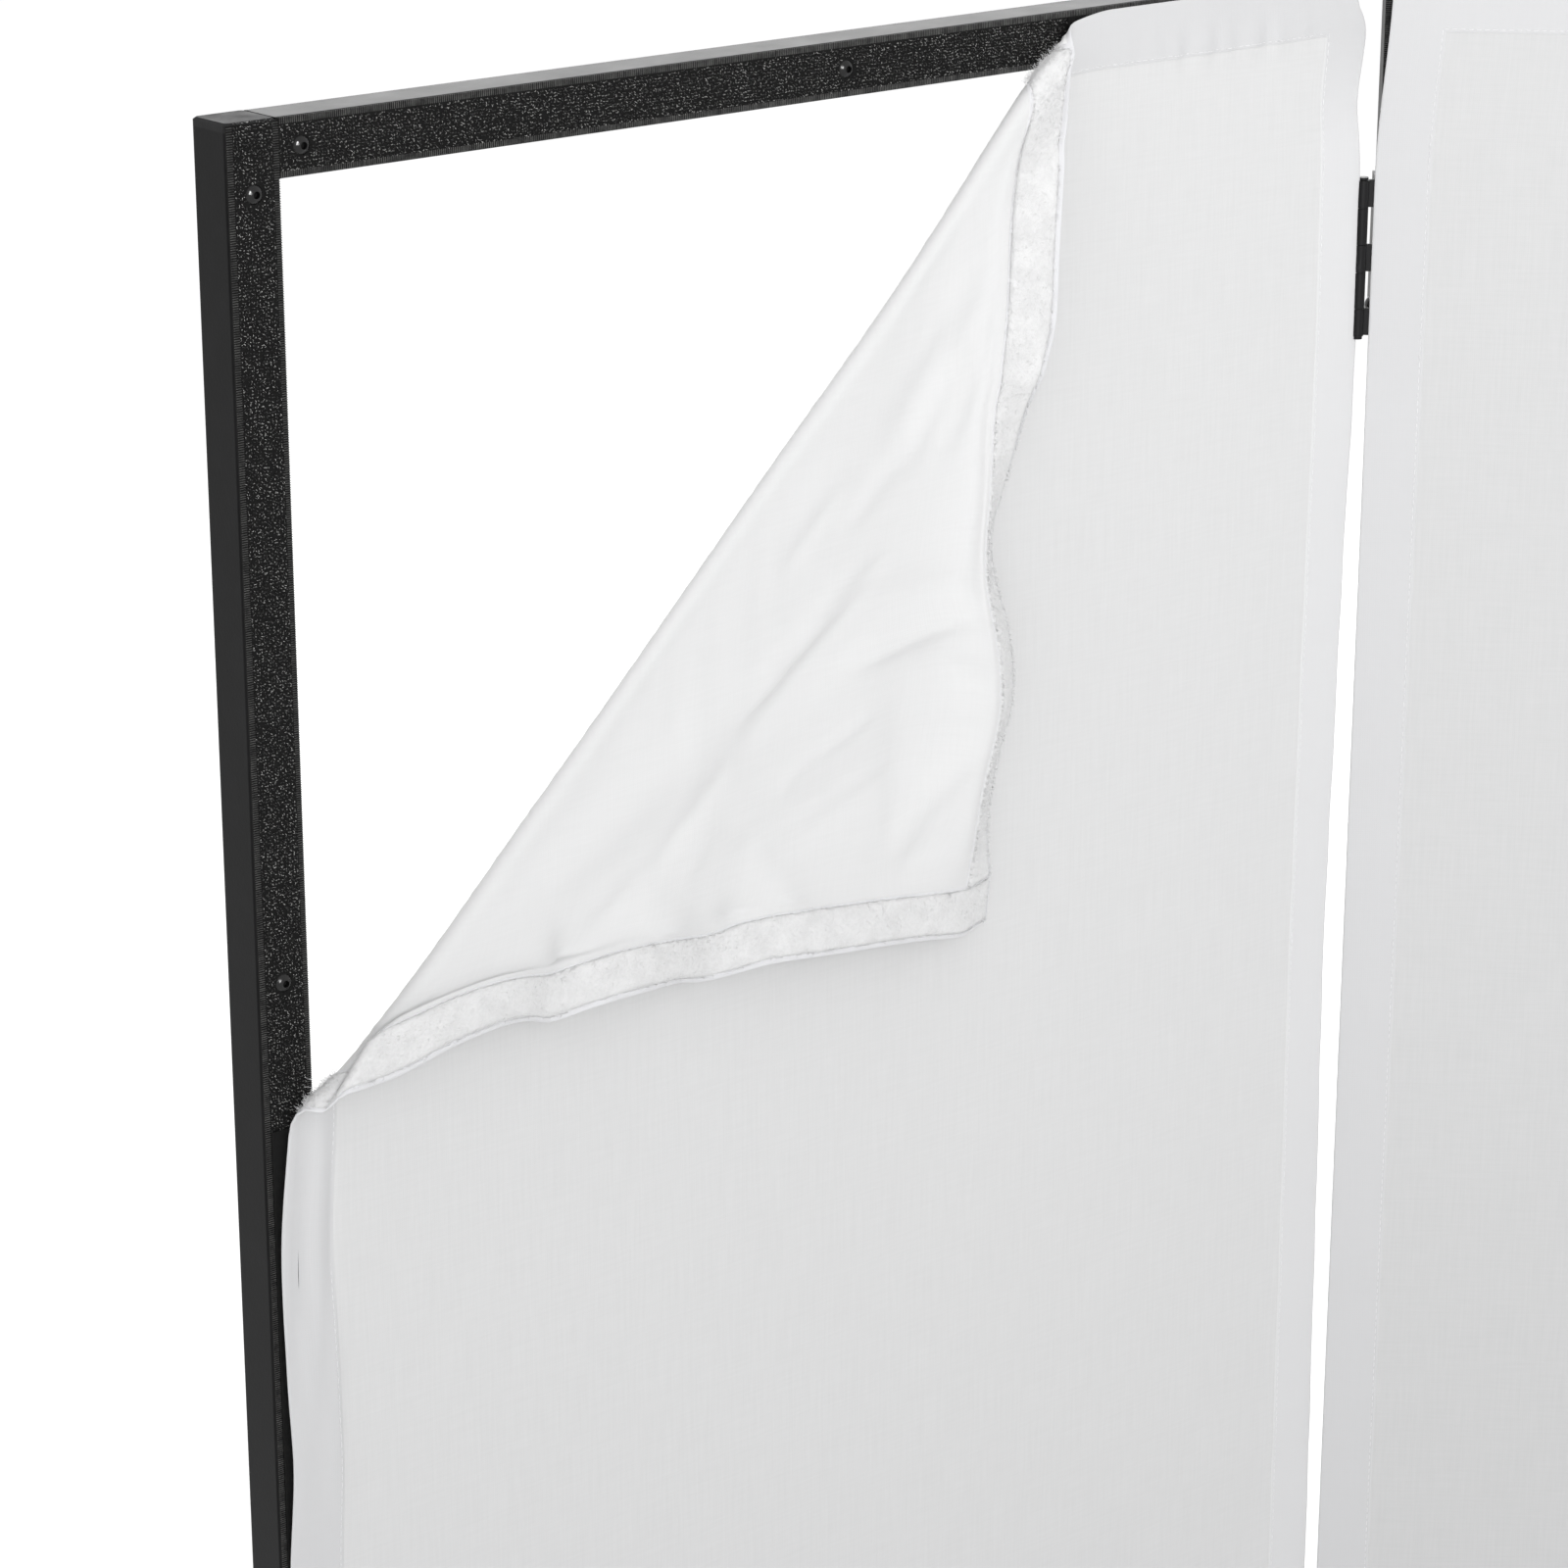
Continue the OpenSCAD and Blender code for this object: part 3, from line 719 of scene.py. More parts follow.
def fold_over(s, t):
    """Where the flat sheet's (s, t) goes as its corner rolls over the crease: (u, v, z) of the
    first panel, and how far each point is beyond the part of the roll that is held."""
    (top_s, top_t), (left_s, left_t) = CREASE_ENDS
    d = (s - top_s) * CREASE_OUT[0] + (t - top_t) * CREASE_OUT[1]
    e = (s - left_s) * CREASE_RUN[0] + (t - left_t) * CREASE_RUN[1]
    bow = crease_bow(e / CREASE_L)
    d = d + bow
    past = np.clip(d + ROLL, 0, None)
    angle = np.clip(past / ROLL, 0, math.pi)
    beyond = np.clip(past - math.pi * ROLL, 0, None)
    settle = np.exp(-beyond / SETTLE)
    n = np.where(past > 0, -ROLL + ROLL * np.sin(angle) - beyond * GATHER, d)
    lift = ROLL * (1 - np.cos(angle))
    lift = np.where(beyond > 0, REST_LIFT + (2 * ROLL - REST_LIFT) * settle, lift)
    flat = e[..., None] * CREASE_RUN + CREASE_ENDS[1] + (n - bow)[..., None] * CREASE_OUT
    place = np.stack([SCRIM_U + flat[..., 0], SCRIM_V - lift, SCRIM_TOP - flat[..., 1]], -1)
    return place, past - HELD_TURN * math.pi * ROLL


def hem_band(s, t):
    """Where the two hems of the turned corner lie: the middle surface in panel axes."""
    x = (CREASE_S - np.maximum(s, HEM_W)) / MM
    g = (CREASE_T - np.maximum(t, HEM_W)) / MM
    right = np.stack([
        smooth_table(x, RIGHT_HEM, 1) * MM,
        SCRIM_V - smooth_table(x, RIGHT_HEM, 2) * MM,
        SCRIM_TOP - x * MM * (LOWER_HEM[-1][1] / RIGHT_HEM[-1][0]),
    ], -1)
    lower = np.stack([
        SCRIM_U + g * MM * ((RIGHT_HEM[-1][1] * MM - SCRIM_U) / (CREASE_T - HEM_W)),
        SCRIM_V - smooth_table(g, LOWER_HEM, 2) * MM,
        PANEL_H - smooth_table(g, LOWER_HEM, 1) * MM,
    ], -1)
    sideways = np.radians(smooth_table(x, RIGHT_HEM, 3))
    hanging = np.radians(smooth_table(g, LOWER_HEM, 3))
    zero = np.zeros_like(sideways)
    across = np.stack([np.cos(sideways), -np.sin(sideways), zero], -1)
    down = np.stack([zero, -np.sin(hanging), -np.cos(hanging)], -1)
    on_right = np.where((t < s)[..., None], right, lower)
    over_t = np.clip(HEM_W - t, 0, None)[..., None]
    over_s = np.clip(HEM_W - s, 0, None)[..., None]
    return on_right + over_t * across + over_s * down


def step_up(x):
    x = np.clip(x, 0, 1)
    return x * x * (3 - 2 * x)


def pull_edges(points, s, t):
    """Moves a grid of the first scrim as its edges stray and as the crease's ends are pulled."""
    right = np.clip(1 - (SCRIM_W - s) / EDGE_REACH, 0, 1) ** 1.5
    left = np.clip(1 - s / EDGE_REACH, 0, 1) ** 1.5
    points[..., 0] += smooth_table(t / MM, RIGHT_EDGE, 1) * MM * right
    points[..., 0] += smooth_table(t / MM, LEFT_EDGE, 1) * MM * left
    for end_s, end_t, across, across_reach, up, up_reach in END_PULLS:
        away = np.hypot(s / MM - end_s, t / MM - end_t)
        points[..., 0] += across * MM * np.clip(1 - away / across_reach, 0, 1) ** 2
        points[..., 2] += up * MM * np.clip(1 - away / up_reach, 0, 1) ** 1.7


def folds(place, table):
    """The summed height of a table's soft straight folds at places in a panel."""
    across, down = place[..., 0] / MM, (PANEL_H - place[..., 2]) / MM
    total = np.zeros(across.shape)
    for u0, d0, u1, d1, width, height in table:
        length = math.hypot(u1 - u0, d1 - d0)
        along = ((across - u0) * (u1 - u0) + (down - d0) * (d1 - d0)) / length ** 2
        aside = ((across - u0) * (d1 - d0) - (down - d0) * (u1 - u0)) / length
        ends = step_up(along / 0.35) * step_up((1 - along) / 0.35)
        total += height * MM * ends * np.exp(-(aside / width) ** 2)
    return total


# How strongly the hanging corner's folds show, and the share left of them on its stiff hems
FOLD_GAIN = 1.25
HEM_SHARE = 0.35
# The puckered stretch of the first scrim's top hem: from and to along it, and its middle
# line and half width down from the edge
PUCKER_FROM, PUCKER_TO = 385 * MM, 505 * MM
PUCKER_DOWN, PUCKER_HALF = 19 * MM, 6 * MM


def relief_1(s, t, place):
    """Fine wrinkles of the first scrim: on its hanging corner, at the peels and along the hems."""
    beyond = 1 - s / CREASE_S - t / CREASE_T
    in_band = step_up((np.minimum(s, t) - HEM_W) / (14 * MM))
    corner = step_up(beyond / 0.14) * (HEM_SHARE + (1 - HEM_SHARE) * in_band)
    pressed = step_up(-beyond / 0.02)
    top = np.exp(-((t - PUCKER_DOWN) / PUCKER_HALF) ** 2)
    stretch = step_up((s - PUCKER_FROM) / (40 * MM)) * step_up((PUCKER_TO - s) / (20 * MM))
    lift = FOLD_GAIN * corner * folds(place, CORNER_FOLDS)
    lift += pressed * (folds(place, HEM_FOLDS) + top * stretch * (0.6 * MM + ripple(s, PUCKERS)))
    return lift + pressed * hem_waves(s, t)


def hem_waves(s, t):
    """Low waves along the hems, where the stitching gathers them."""
    along = np.where(np.minimum(s, SCRIM_W - s) < np.minimum(t, SCRIM_H - t), t, s)
    return step_up((40 * MM - to_edge(s, t)) / (25 * MM)) * (0.19 * MM + ripple(along, HEM_WAVES))


def relief_2(s, t, place):
    return hem_waves(s, t)


def add_scratch(name, points, faces):
    """A mesh of the simulation from points of the first panel. It doesn't stay in the scene."""
    mesh = bpy.data.meshes.new(name)
    mesh.from_pydata(PANEL_1.place(points).reshape(-1, 3).tolist(), [], faces)
    made = bpy.data.objects.new(name, mesh)
    bpy.context.scene.collection.objects.link(made)
    return made


def add_wall():
    """The pressed part of the scrim, which the loose corner can't go through."""
    shape = [
        (0, CREASE_T + WALL_INSET), (0, SCRIM_H / 2), (SCRIM_W, SCRIM_H / 2), (SCRIM_W, 0),
        (CREASE_S + WALL_INSET, 0),
    ]
    outline = [(SCRIM_U + s, SCRIM_V - WALL_OUT, SCRIM_TOP - t) for s, t in shape]
    wall = add_scratch("wall", outline, [tuple(range(len(outline)))])
    wall.modifiers.new("collision", "COLLISION")
    wall.collision.thickness_outer = 1 * MM
    wall.collision.cloth_friction = 12
    return wall


def simulate(points, held, rest):
    """Lets the loose part of a grid of cloth settle between its held parts. All in panel axes."""
    index = np.arange(held.size).reshape(held.shape)
    hanging = add_scratch("hanging", points, grid_quads(index).tolist())
    pinned = hanging.vertex_groups.new(name="held")
    pinned.add([int(i) for i in index[held]], 1.0, "REPLACE")
    hanging.shape_key_add(name="Basis")
    flat = hanging.shape_key_add(name="flat")
    flat.data.foreach_set("co", PANEL_1.place(rest).ravel())
    wall = add_wall()
    cloth = hanging.modifiers.new("cloth", "CLOTH")
    settings = cloth.settings
    settings.quality = 8
    settings.mass = 0.12
    settings.air_damping = 3
    settings.tension_stiffness = settings.compression_stiffness = 25
    settings.shear_stiffness = 8
    settings.bending_stiffness = 0.08
    settings.vertex_group_mass = "held"
    settings.rest_shape_key = flat
    cloth.collision_settings.distance_min = 1 * MM
    cloth.collision_settings.use_self_collision = False
    scene = bpy.context.scene
    scene.frame_start, scene.frame_end = 1, SIM_FRAMES
    cloth.point_cache.frame_start, cloth.point_cache.frame_end = 1, SIM_FRAMES
    for number in range(1, SIM_FRAMES + 1):
        scene.frame_set(number)
    shown = hanging.evaluated_get(bpy.context.evaluated_depsgraph_get())
    settled = PANEL_1.find(np.array([v.co for v in shown.data.vertices]))
    for made in (hanging, wall):
        bpy.data.objects.remove(made)
    scene.frame_set(1)
    return settled.reshape(points.shape)


def soften(points, edge, loose):
    """Eases the bend where the loose cloth meets its stiffer hems, edge being the way in."""
    share = 0.5 * np.exp(-((edge - 25 * MM) / (12 * MM)) ** 2) * step_up(loose / (30 * MM))
    share = np.where(edge < GRID, 0, share)[..., None]
    for _ in range(10):
        near = sum(np.roll(points, step, axis) for step in (-1, 1) for axis in (0, 1)) / 4
        points = points + share * (near - points)
    return points


def flat_grid(step):
    """A grid of (s, t) over the whole flat sheet, its lines about a step apart."""
    s_line = np.linspace(0, SCRIM_W, int(round(SCRIM_W / step)) + 1)
    t_line = np.linspace(0, SCRIM_H, int(round(SCRIM_H / step)) + 1)
    return np.meshgrid(s_line, t_line)


def scrim_1_surface():
    """The first scrim: pressed flat, with its upper left corner rolled over and hanging."""
    s, t = flat_grid(GRID)
    points, beyond = fold_over(s, t)
    in_band = np.minimum(s, t) - HEM_W
    near_hem = 1 - step_up(in_band / HEM_REACH)
    turn_in = np.where(t < s, TURN_IN_RIGHT, TURN_IN_LOWER)
    weight = (near_hem * step_up(beyond / turn_in))[..., None]
    pull_edges(points, s, t)
    points = points * (1 - weight) + hem_band(s, t) * weight
    part = (slice(0, int(CREASE_T / GRID) + 8), slice(0, int(CREASE_S / GRID) + 8))
    held = (beyond < 0) | (in_band < 0)
    flat = np.stack([SCRIM_U + s, np.full_like(s, SCRIM_V), SCRIM_TOP - t], -1)
    points[part] = simulate(points[part], held[part], SHRINK * flat[part])
    points = soften(points, np.minimum(s, t), beyond)
    return Cloth(PANEL_1, points, relief_1)


# The second scrim's left edge: how far it sits to the right at the top and lower down, and
# the turn of its upper left corner
SKEW_TOP = 1.6 * MM
SKEW_SIDE = -2.75 * MM
SKEW_TURN = 0.024


def scrim_2_surface():
    """The second scrim: pressed flat, a little askew at its upper left corner."""
    s, t = flat_grid(2 * GRID)
    near = np.clip(1 - s / (SCRIM_W / 2), 0, 1)
    u = SCRIM_2_U + s + near * (SKEW_TOP + (SKEW_SIDE - SKEW_TOP) * step_up(t / (80 * MM)))
    v = np.full_like(s, PANEL_2.find(middle("panel_2_scrim"))[1])
    low = t + SKEW_TURN * s * np.exp(-s / (120 * MM) - t / (200 * MM))
    return Cloth(PANEL_2, np.stack([u, v, SCRIM_TOP - low], -1), relief_2)


STITCH_PITCH = 3.2 * MM
STITCH_L = 2.5 * MM
THREAD_R = 0.16 * MM


def add_stitches(name, cloth):
    """A row of stitches round the hem, on the front and on the back."""
    inset = HEM_W - 1.2 * MM
    runs = []
    for along_s, total, fixed in (
        (True, SCRIM_W, inset), (True, SCRIM_W, SCRIM_H - inset),
        (False, SCRIM_H, inset), (False, SCRIM_H, SCRIM_W - inset),
    ):
        start = np.arange(inset, total - inset - STITCH_L, STITCH_PITCH)
        part = np.linspace(0, STITCH_L, 4)
        moving = start[:, None] + part[None, :]
        still = np.full_like(moving, fixed)
        runs.append((moving, still) if along_s else (still, moving))
    s = np.concatenate([r[0] for r in runs])
    t = np.concatenate([r[1] for r in runs])
    rise = np.array([-0.16, 0.02, 0.02, -0.16]) * MM
    paths = [cloth.off(s, t, side * (SCRIM_T / 2 + rise)) for side in (1, -1)]
    verts, faces = tubes(np.concatenate(paths), THREAD_R, 5)
    return add_mesh(name, verts, faces, [THREAD], cloth.panel)


# ---------------- tapes

# The hook tape: thickness of its ground, the chamfer along it, its selvedges' width, and
# their ribs' pitch, half width and height
TAPE_GROUND = 0.55 * MM
TAPE_CHAMFER = 0.2 * MM
SELVEDGE = 2.2 * MM
RIB_PITCH = 0.81 * MM
RIB_HALF = 0.2 * MM
RIB_HIGH = 0.36 * MM
# Its hooks: their spacing along and across the tape, their reach and their wire's radius.
# None stands within HEAD_ROOM of a rivet's middle.
HOOK_ALONG = 1.15 * MM
HOOK_ACROSS = 1.1 * MM
HOOK_REACH = 1.0 * MM
HOOK_R = 0.11 * MM
HEAD_ROOM = 4.0 * MM


class Strip:
    """A tape on the front of a tube: a runs along it, b across it, and c out from the tube."""

    def __init__(self, node, panel):
        self.panel = panel
        low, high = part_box(node)
        centre = panel.find((low + high) / 2)
        self.upright = high.z - low.z > PANEL_H / 2
        self.length = high.z - low.z if self.upright else PANEL_W - 2 * TUBE
        self.low_a = low.z if self.upright else centre[0] - self.length / 2
        self.low_b = centre[0] - TUBE / 2 if self.upright else low.z

    def point(self, a, b, c):
        a, b, c = np.broadcast_arrays(np.asarray(a, float), b, c)
        a, b = self.low_a + a, self.low_b + b
        u, z = (b, a) if self.upright else (a, b)
        return np.stack([u, -c, z], -1)

    def rivets(self):
        """Where the rivets go through, as (a, b)."""
        spots = []
        for u, _, z in rivet_places(self.panel):
            a, b = (z, u) if self.upright else (u, z)
            a, b = a - self.low_a, b - self.low_b
            if 0 <= b <= TUBE and 0 <= a <= self.length:
                spots.append((a, b))
        return spots


def rivet_places(panel):
    """Middles of the tape rivets of a panel, from the islands of their CAD node."""
    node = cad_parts[f"{panel.name}_tape_rivets"].data
    points = panel.find(np.array([v.co for v in node.vertices]))
    middles = []
    while len(points):
        near = (np.abs(points - points[0])[:, [0, 2]] < 2 * HEAD_ROOM).all(1)
        middles.append((points[near].min(0) + points[near].max(0)) / 2)
        points = points[~near]
    return middles


def block(strip, a_range, b_range, c_range, verts, faces):
    """A closed slab of a tape with its two outer long edges chamfered."""
    (a0, a1), (b0, b1), (c0, c1) = a_range, b_range, c_range
    r = TAPE_CHAMFER
    outline = [(b0, c0), (b1, c0), (b1, c1 - r), (b1 - r, c1), (b0 + r, c1), (b0, c1 - r)]
    b_line, c_line = np.array(outline).T
    steps = max(2, int((a1 - a0) / (12 * MM)))
    faces.extend(tube_faces(np.array([len(verts)]), steps, len(outline)))
    for a in np.linspace(a0, a1, steps):
        verts.extend(strip.point(a, b_line, c_line).tolist())


def ribs(strip, b0, b1, verts, faces):
    """The ribbed selvedge: a low ridge across it at every pick of the weave."""
    places = np.arange(RIB_PITCH, strip.length - RIB_PITCH, RIB_PITCH)
    jitter = RNG.normal(0, 0.03 * MM, len(places))
    ends = np.array([b0 + 0.1 * MM, b1])
    section = [(-RIB_HALF, 0.0), (0.0, RIB_HIGH), (RIB_HALF, 0.0)]
    corner = [
        strip.point(places + jitter + da, b, TAPE_GROUND - 0.02 * MM + dc)
        for b in ends for da, dc in section
    ]
    faces.extend(tube_faces(len(verts) + 6 * np.arange(len(places)), 2, len(section)))
    verts.extend(np.stack(corner, 1).reshape(-1, 3).tolist())


def add_hook_tape(node, panel, bare):
    """The hook tape of one tube. bare is the stretch (from, to) along it with no loop tape on
    its hooks; elsewhere the hooks are buried in the loops."""
    strip = Strip(node, panel)
    verts, faces = [], []
    block(strip, (0, strip.length), (0, TUBE), (0, TAPE_GROUND), verts, faces)
    first_rib = len(faces)
    for b0, b1 in ((0, SELVEDGE), (TUBE - SELVEDGE, TUBE)):
        ribs(strip, b0, b1, verts, faces)
    after_ribs = len(faces)
    covered = [(0, strip.length)]
    if bare:
        covered = [c for c in ((0, bare[0]), (bare[1], strip.length)) if c[1] - c[0] > MM]
    for part in covered:
        thick = (TAPE_GROUND - 0.05 * MM, HOOK_T)
        block(strip, part, (SELVEDGE, TUBE - SELVEDGE), thick, verts, faces)
    tape = add_mesh(f"{node}_woven", verts, faces, [TAPE, RIB], panel, smooth=False)
    which = np.zeros(len(faces), np.int32)
    which[first_rib:after_ribs] = 1
    tape.data.polygons.foreach_set("material_index", which)
    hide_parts(node)
    if bare:
        add_hooks(f"{node}_hooks", strip, bare)


def add_hooks(name, strip, bare):
    """The hooks on a bare stretch: rows of bent nylon monofilament, leaning all ways."""
    a_line = np.arange(bare[0] + 0.6 * MM, bare[1], HOOK_ALONG)
    b_line = np.arange(SELVEDGE + 0.5 * MM, TUBE - SELVEDGE - 0.2 * MM, HOOK_ACROSS)
    a, b = np.meshgrid(a_line, b_line)
    a, b = a.ravel(), b.ravel()
    a = a + RNG.normal(0, 0.2 * MM, a.shape)
    b = b + RNG.normal(0, 0.16 * MM, b.shape)
    keep = RNG.random(a.shape) < 0.94
    for ra, rb in strip.rivets():
        keep &= np.hypot(a - ra, b - rb) > HEAD_ROOM
    a, b = a[keep], b[keep]
    yaw = RNG.uniform(0, 2 * math.pi, a.shape)
    tall = (HOOK_T - TAPE_GROUND) * RNG.uniform(0.72, 1.0, a.shape)
    # A hook's side view: how far out, as a share of HOOK_REACH, and how high, of its height
    profile = np.array([(0, -0.05), (0, 0.5), (0.1, 0.85), (0.3, 1), (0.48, 0.86), (0.52, 0.7)])
    reach = profile[None, :, 0] * HOOK_REACH
    path = strip.point(
        a[:, None] + reach * np.cos(yaw)[:, None],
        b[:, None] + reach * np.sin(yaw)[:, None],
        TAPE_GROUND + profile[None, :, 1] * tall[:, None],
    )
    verts, faces = tubes(path, HOOK_R, 4)
    hooks = add_mesh(name, verts, faces, [HOOK], strip.panel)


# The loop tape: its distance from the scrim's edge, its width, the line of its inner edge,
# how far each strip ends from the crease, and the width of its edges' rounded shoulders
LOOP_INSET = 2.4 * MM
LOOP_W = 18 * MM
LOOP_IN = LOOP_INSET + LOOP_W
PEEL = 1 * MM
SHOULDER = 1.6 * MM
# The loop pile: fibres to a square mm, fringe fibres to a mm of edge, and how many times
# longer those are
PILE_DENSITY = 0.75
FRINGE_DENSITY = 4.5
FRINGE_SIZE = 1.7


def strip_lines(start, end, fine):
    """Stations across a strip, with one close to each edge for its rounded shoulder."""
    inner = np.linspace(start + SHOULDER, end - SHOULDER, max(2, int((end - start) / fine)))
    return np.concatenate([[start, start + SHOULDER / 2], inner, [end - SHOULDER / 2, end]])


def add_loop_strips(name, cloth, areas, fine):
    """Loop tape on the back of a scrim: a strip over each (s0, s1, t0, t1)."""
    verts, faces = [], []
    for s0, s1, t0, t1 in areas:
        s, t = np.meshgrid(strip_lines(s0, s1, fine), strip_lines(t0, t1, fine))
        low = cloth.off(s, t, np.full_like(s, -SCRIM_T / 2 + 0.02 * MM))
        inside = np.minimum(np.minimum(s - s0, s1 - s), np.minimum(t - t0, t1 - t))
        full = 0.05 + 0.5 * step_up(inside / SHOULDER)
        high = cloth.off(s, t, -SCRIM_T / 2 - full * LOOP_T)
        index = np.arange(s.size).reshape(s.shape) + len(verts)
        quad = grid_quads(index)[:, [0, 3, 2, 1]]
        faces.extend((quad + s.size).tolist())
        faces.extend(quad[:, ::-1].tolist())
        faces.extend(rim_quads(index).tolist())
        verts.extend(low.reshape(-1, 3).tolist())
        verts.extend(high.reshape(-1, 3).tolist())
    piece = add_mesh(name, verts, faces, [LOOP], cloth.panel)
    return piece


def add_pile(name, cloth, areas):
    """The pile on bare loop tape: short bent fibres all over it and longer ones at its edges."""
    starts = []
    for s0, s1, t0, t1 in areas:
        count = int((s1 - s0) * (t1 - t0) * PILE_DENSITY / MM / MM)
        starts.append((RNG.uniform(s0, s1, count), RNG.uniform(t0, t1, count), np.ones(count)))
        run = int(max(s1 - s0, t1 - t0) * FRINGE_DENSITY / MM)
        side = RNG.integers(0, 2, run)
        along = RNG.uniform(0, 1, run)
        if s1 - s0 > t1 - t0:
            s, t = s0 + along * (s1 - s0), np.where(side, t0, t1)
        else:
            s, t = np.where(side, s0, s1), t0 + along * (t1 - t0)
        starts.append((s, t, np.full(run, FRINGE_SIZE)))
    s, t, size = (np.concatenate(column) for column in zip(*starts))
    size = (size * RNG.uniform(0.5, 1.25, len(s)) * MM)[:, None]
    along_s, along_t, out = cloth.axes(s, t)
    yaw = RNG.uniform(0, 2 * math.pi, len(s))[:, None]
    lean = RNG.uniform(0.3, 1.5, len(s))[:, None]
    sideways = np.cos(yaw) * along_s + np.sin(yaw) * along_t
    root = cloth.at(s, t) - out * (SCRIM_T / 2 + 0.35 * LOOP_T)
    bend = root + size * (0.2 * lean * sideways - 0.55 * out)
    tip = root + size * (0.75 * lean * sideways - 0.75 * out)
    radii = np.array([0.06, 0.05, 0.03]) * MM
    verts, faces = tubes(np.stack([root, bend, tip], 1), radii, 3)
    piece = add_mesh(name, verts, faces, [PILE], cloth.panel)
    return piece


# Fibres that the hooks have drawn out of the loops where the tape peels: a stretch of the
# crease as shares of its length, how many fibres, and their longest reach
PULLED = ((0.0, 0.045, 320, 2.4 * MM), (0.03, 0.05, 24, 11 * MM), (0.95, 0.992, 420, 3.0 * MM))
PULLED_R = 0.055 * MM


def add_pulled_fibres(name, cloth):
    """The drawn-out fibres, which lean up and to the left."""
    roots, tips = [], []
    for share_0, share_1, count, reach in PULLED:
        s, t = crease_top(RNG.uniform(share_0, share_1, count))
        s, t = s + RNG.normal(0, 1.2 * MM, count), t + RNG.normal(0, 1.2 * MM, count)
        out = cloth.axes(s, t)[2]
        root = cloth.at(s, t) - out * (SCRIM_T / 2 + 0.4 * LOOP_T)
        length = reach * (0.15 + 0.85 * RNG.random(count) ** 1.6)
        aim = math.radians(140) + RNG.normal(0, 0.5, count)
        back = RNG.uniform(-0.1, 0.3, count)
        roots.append(root)
        tips.append(root + length[:, None] * np.stack([np.cos(aim), back, np.sin(aim)], -1))
    root, tip = np.concatenate(roots), np.concatenate(tips)
    tip[:, 1] = np.minimum(tip[:, 1], -HOOK_T)
    reach = np.linalg.norm(tip - root, axis=-1)[:, None]
    bend = (root + tip) / 2 + RNG.normal(0, 0.08, root.shape) * reach
    verts, faces = tubes(np.stack([root, bend, tip], 1), PULLED_R, 3)
    piece = add_mesh(name, verts, faces, [PILE], cloth.panel)
    return piece


# ---------------- build

add_camera()
add_studio()

PAINT = paint_material()
CAP = cap_material()
TAPE = tape_material()
RIB = rib_material()
HOOK = hook_material()
RIVET = rivet_material()
HINGE = hinge_material()
# The first scrim's front: painted shade on its left and upper hems, and a painted highlight on its
# right hem.
FRONT = cloth_material(
    "scrim_front", (0.50, 0.501, 0.503), 0.03, [(0.445, 0.446, 0.455), (0.53, 0.531, 0.54)]
)
# The second scrim is the same cloth with its front painted darker: painted shade against the key
# light, which falls more squarely on it.
FRONT_2_PAINTED_SHADE = cloth_material("scrim_2_front_painted_shade", (0.45, 0.451, 0.453), 0.03, [(0.462, 0.463, 0.472)] * 2)
BACK = cloth_material("scrim_back", (0.52, 0.521, 0.523), 0.02, [(0.525, 0.526, 0.545)] * 2)
LOOP = loop_material()
PILE = pile_material()
THREAD = thread_material()

# The finish of the CAD nodes, by the ends of their names
CAD_FINISH = {
    ("_post", "_rail"): PAINT, ("_caps", "_feet"): CAP, ("_hook_tape",): TAPE,
    ("_loop_tape",): LOOP, ("_rivets", "_rivets_1", "_rivets_2"): RIVET,
    ("_leaf_1", "_leaf_2", "_pin"): HINGE,
}
for name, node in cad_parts.items():
    for endings, material in CAD_FINISH.items():
        if name.endswith(endings):
            node.data.materials.clear()
            node.data.materials.append(material)

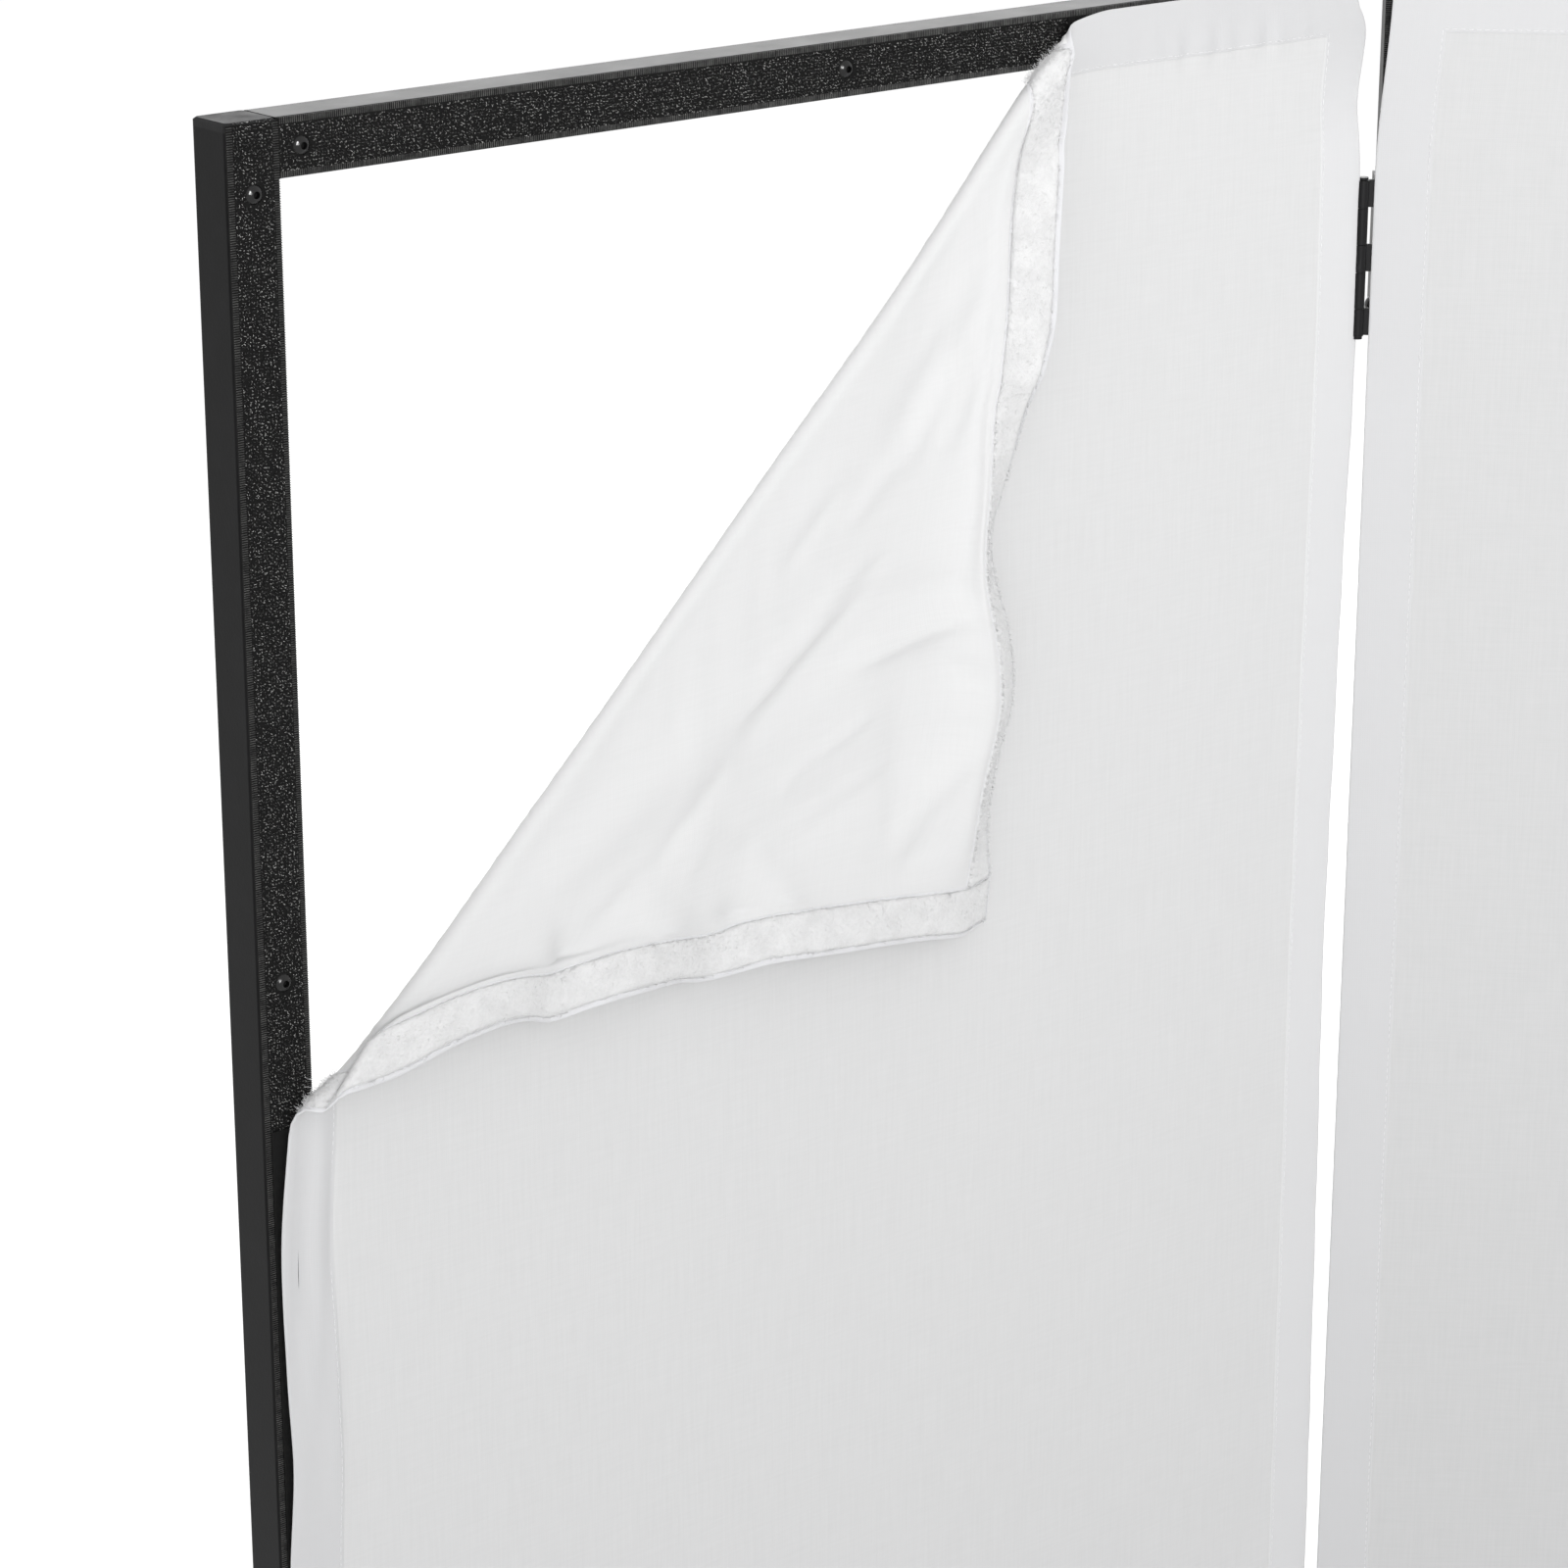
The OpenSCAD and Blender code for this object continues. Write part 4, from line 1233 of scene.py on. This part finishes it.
cloth_1 = scrim_1_surface()
scrim_1 = add_cloth("panel_1_scrim_cloth", cloth_1, [FRONT, BACK], 2.6 * MM, 3.6 * MM)
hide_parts("panel_1_scrim", "panel_1_turned_corner")
cloth_2 = scrim_2_surface()
scrim_2 = add_cloth("panel_2_scrim_cloth", cloth_2, [FRONT_2_PAINTED_SHADE, BACK], 4 * MM, 6 * MM)
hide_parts("panel_2_scrim")
stitch_1 = add_stitches("panel_1_stitching", cloth_1)
add_stitches("panel_2_stitching", cloth_2)

# The bare stretches of the first panel's hook tapes, which run on a little under the cloth
BARE = {
    "panel_1_left": (SCRIM_TOP - CREASE_T - 4 * MM, PANEL_H),
    "panel_1_top": (0, SCRIM_U + CREASE_S + 14 * MM - TUBE),
}
for panel in (PANEL_1, PANEL_2):
    for side in ("left", "right", "top", "bottom"):
        place = f"{panel.name}_{side}"
        add_hook_tape(f"{place}_hook_tape", panel, BARE.get(place))

turned = [
    (LOOP_IN + 0.4 * MM, CREASE_S - PEEL, LOOP_INSET, LOOP_IN),
    (LOOP_INSET, LOOP_IN, LOOP_INSET, CREASE_T - PEEL),
]
turned_loops = add_loop_strips("panel_1_turned_loop_strips", cloth_1, turned, 1.5 * MM)
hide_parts("panel_1_turned_loop_tape")
turned_pile = add_pile("panel_1_turned_pile", cloth_1, turned)


def border(s_from, t_from):
    """Loop strips round a scrim, where the top one starts at s_from and the left one at t_from."""
    far_s, far_t = SCRIM_W - LOOP_INSET, SCRIM_H - LOOP_INSET
    near_s, near_t = far_s - LOOP_W, far_t - LOOP_W
    return [
        (s_from, far_s, LOOP_INSET, LOOP_IN),
        (LOOP_INSET, LOOP_IN, t_from, far_t),
        (near_s, far_s, LOOP_IN + 0.2 * MM, near_t - 0.2 * MM),
        (LOOP_IN + 0.2 * MM, far_s, near_t, far_t),
    ]


pressed_1 = border(CREASE_S + PEEL, CREASE_T + PEEL)
loops_1 = add_loop_strips("panel_1_loop_strips", cloth_1, pressed_1, 3 * MM)
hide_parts("panel_1_loop_tape")
pressed_2 = border(LOOP_INSET, LOOP_IN + 0.2 * MM)
loops_2 = add_loop_strips("panel_2_loop_strips", cloth_2, pressed_2, 4 * MM)
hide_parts("panel_2_loop_tape")

pulled = add_pulled_fibres("panel_1_pulled_fibres", cloth_1)

for soft in (scrim_1, stitch_1, turned_loops, turned_pile, pulled):
    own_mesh(soft)
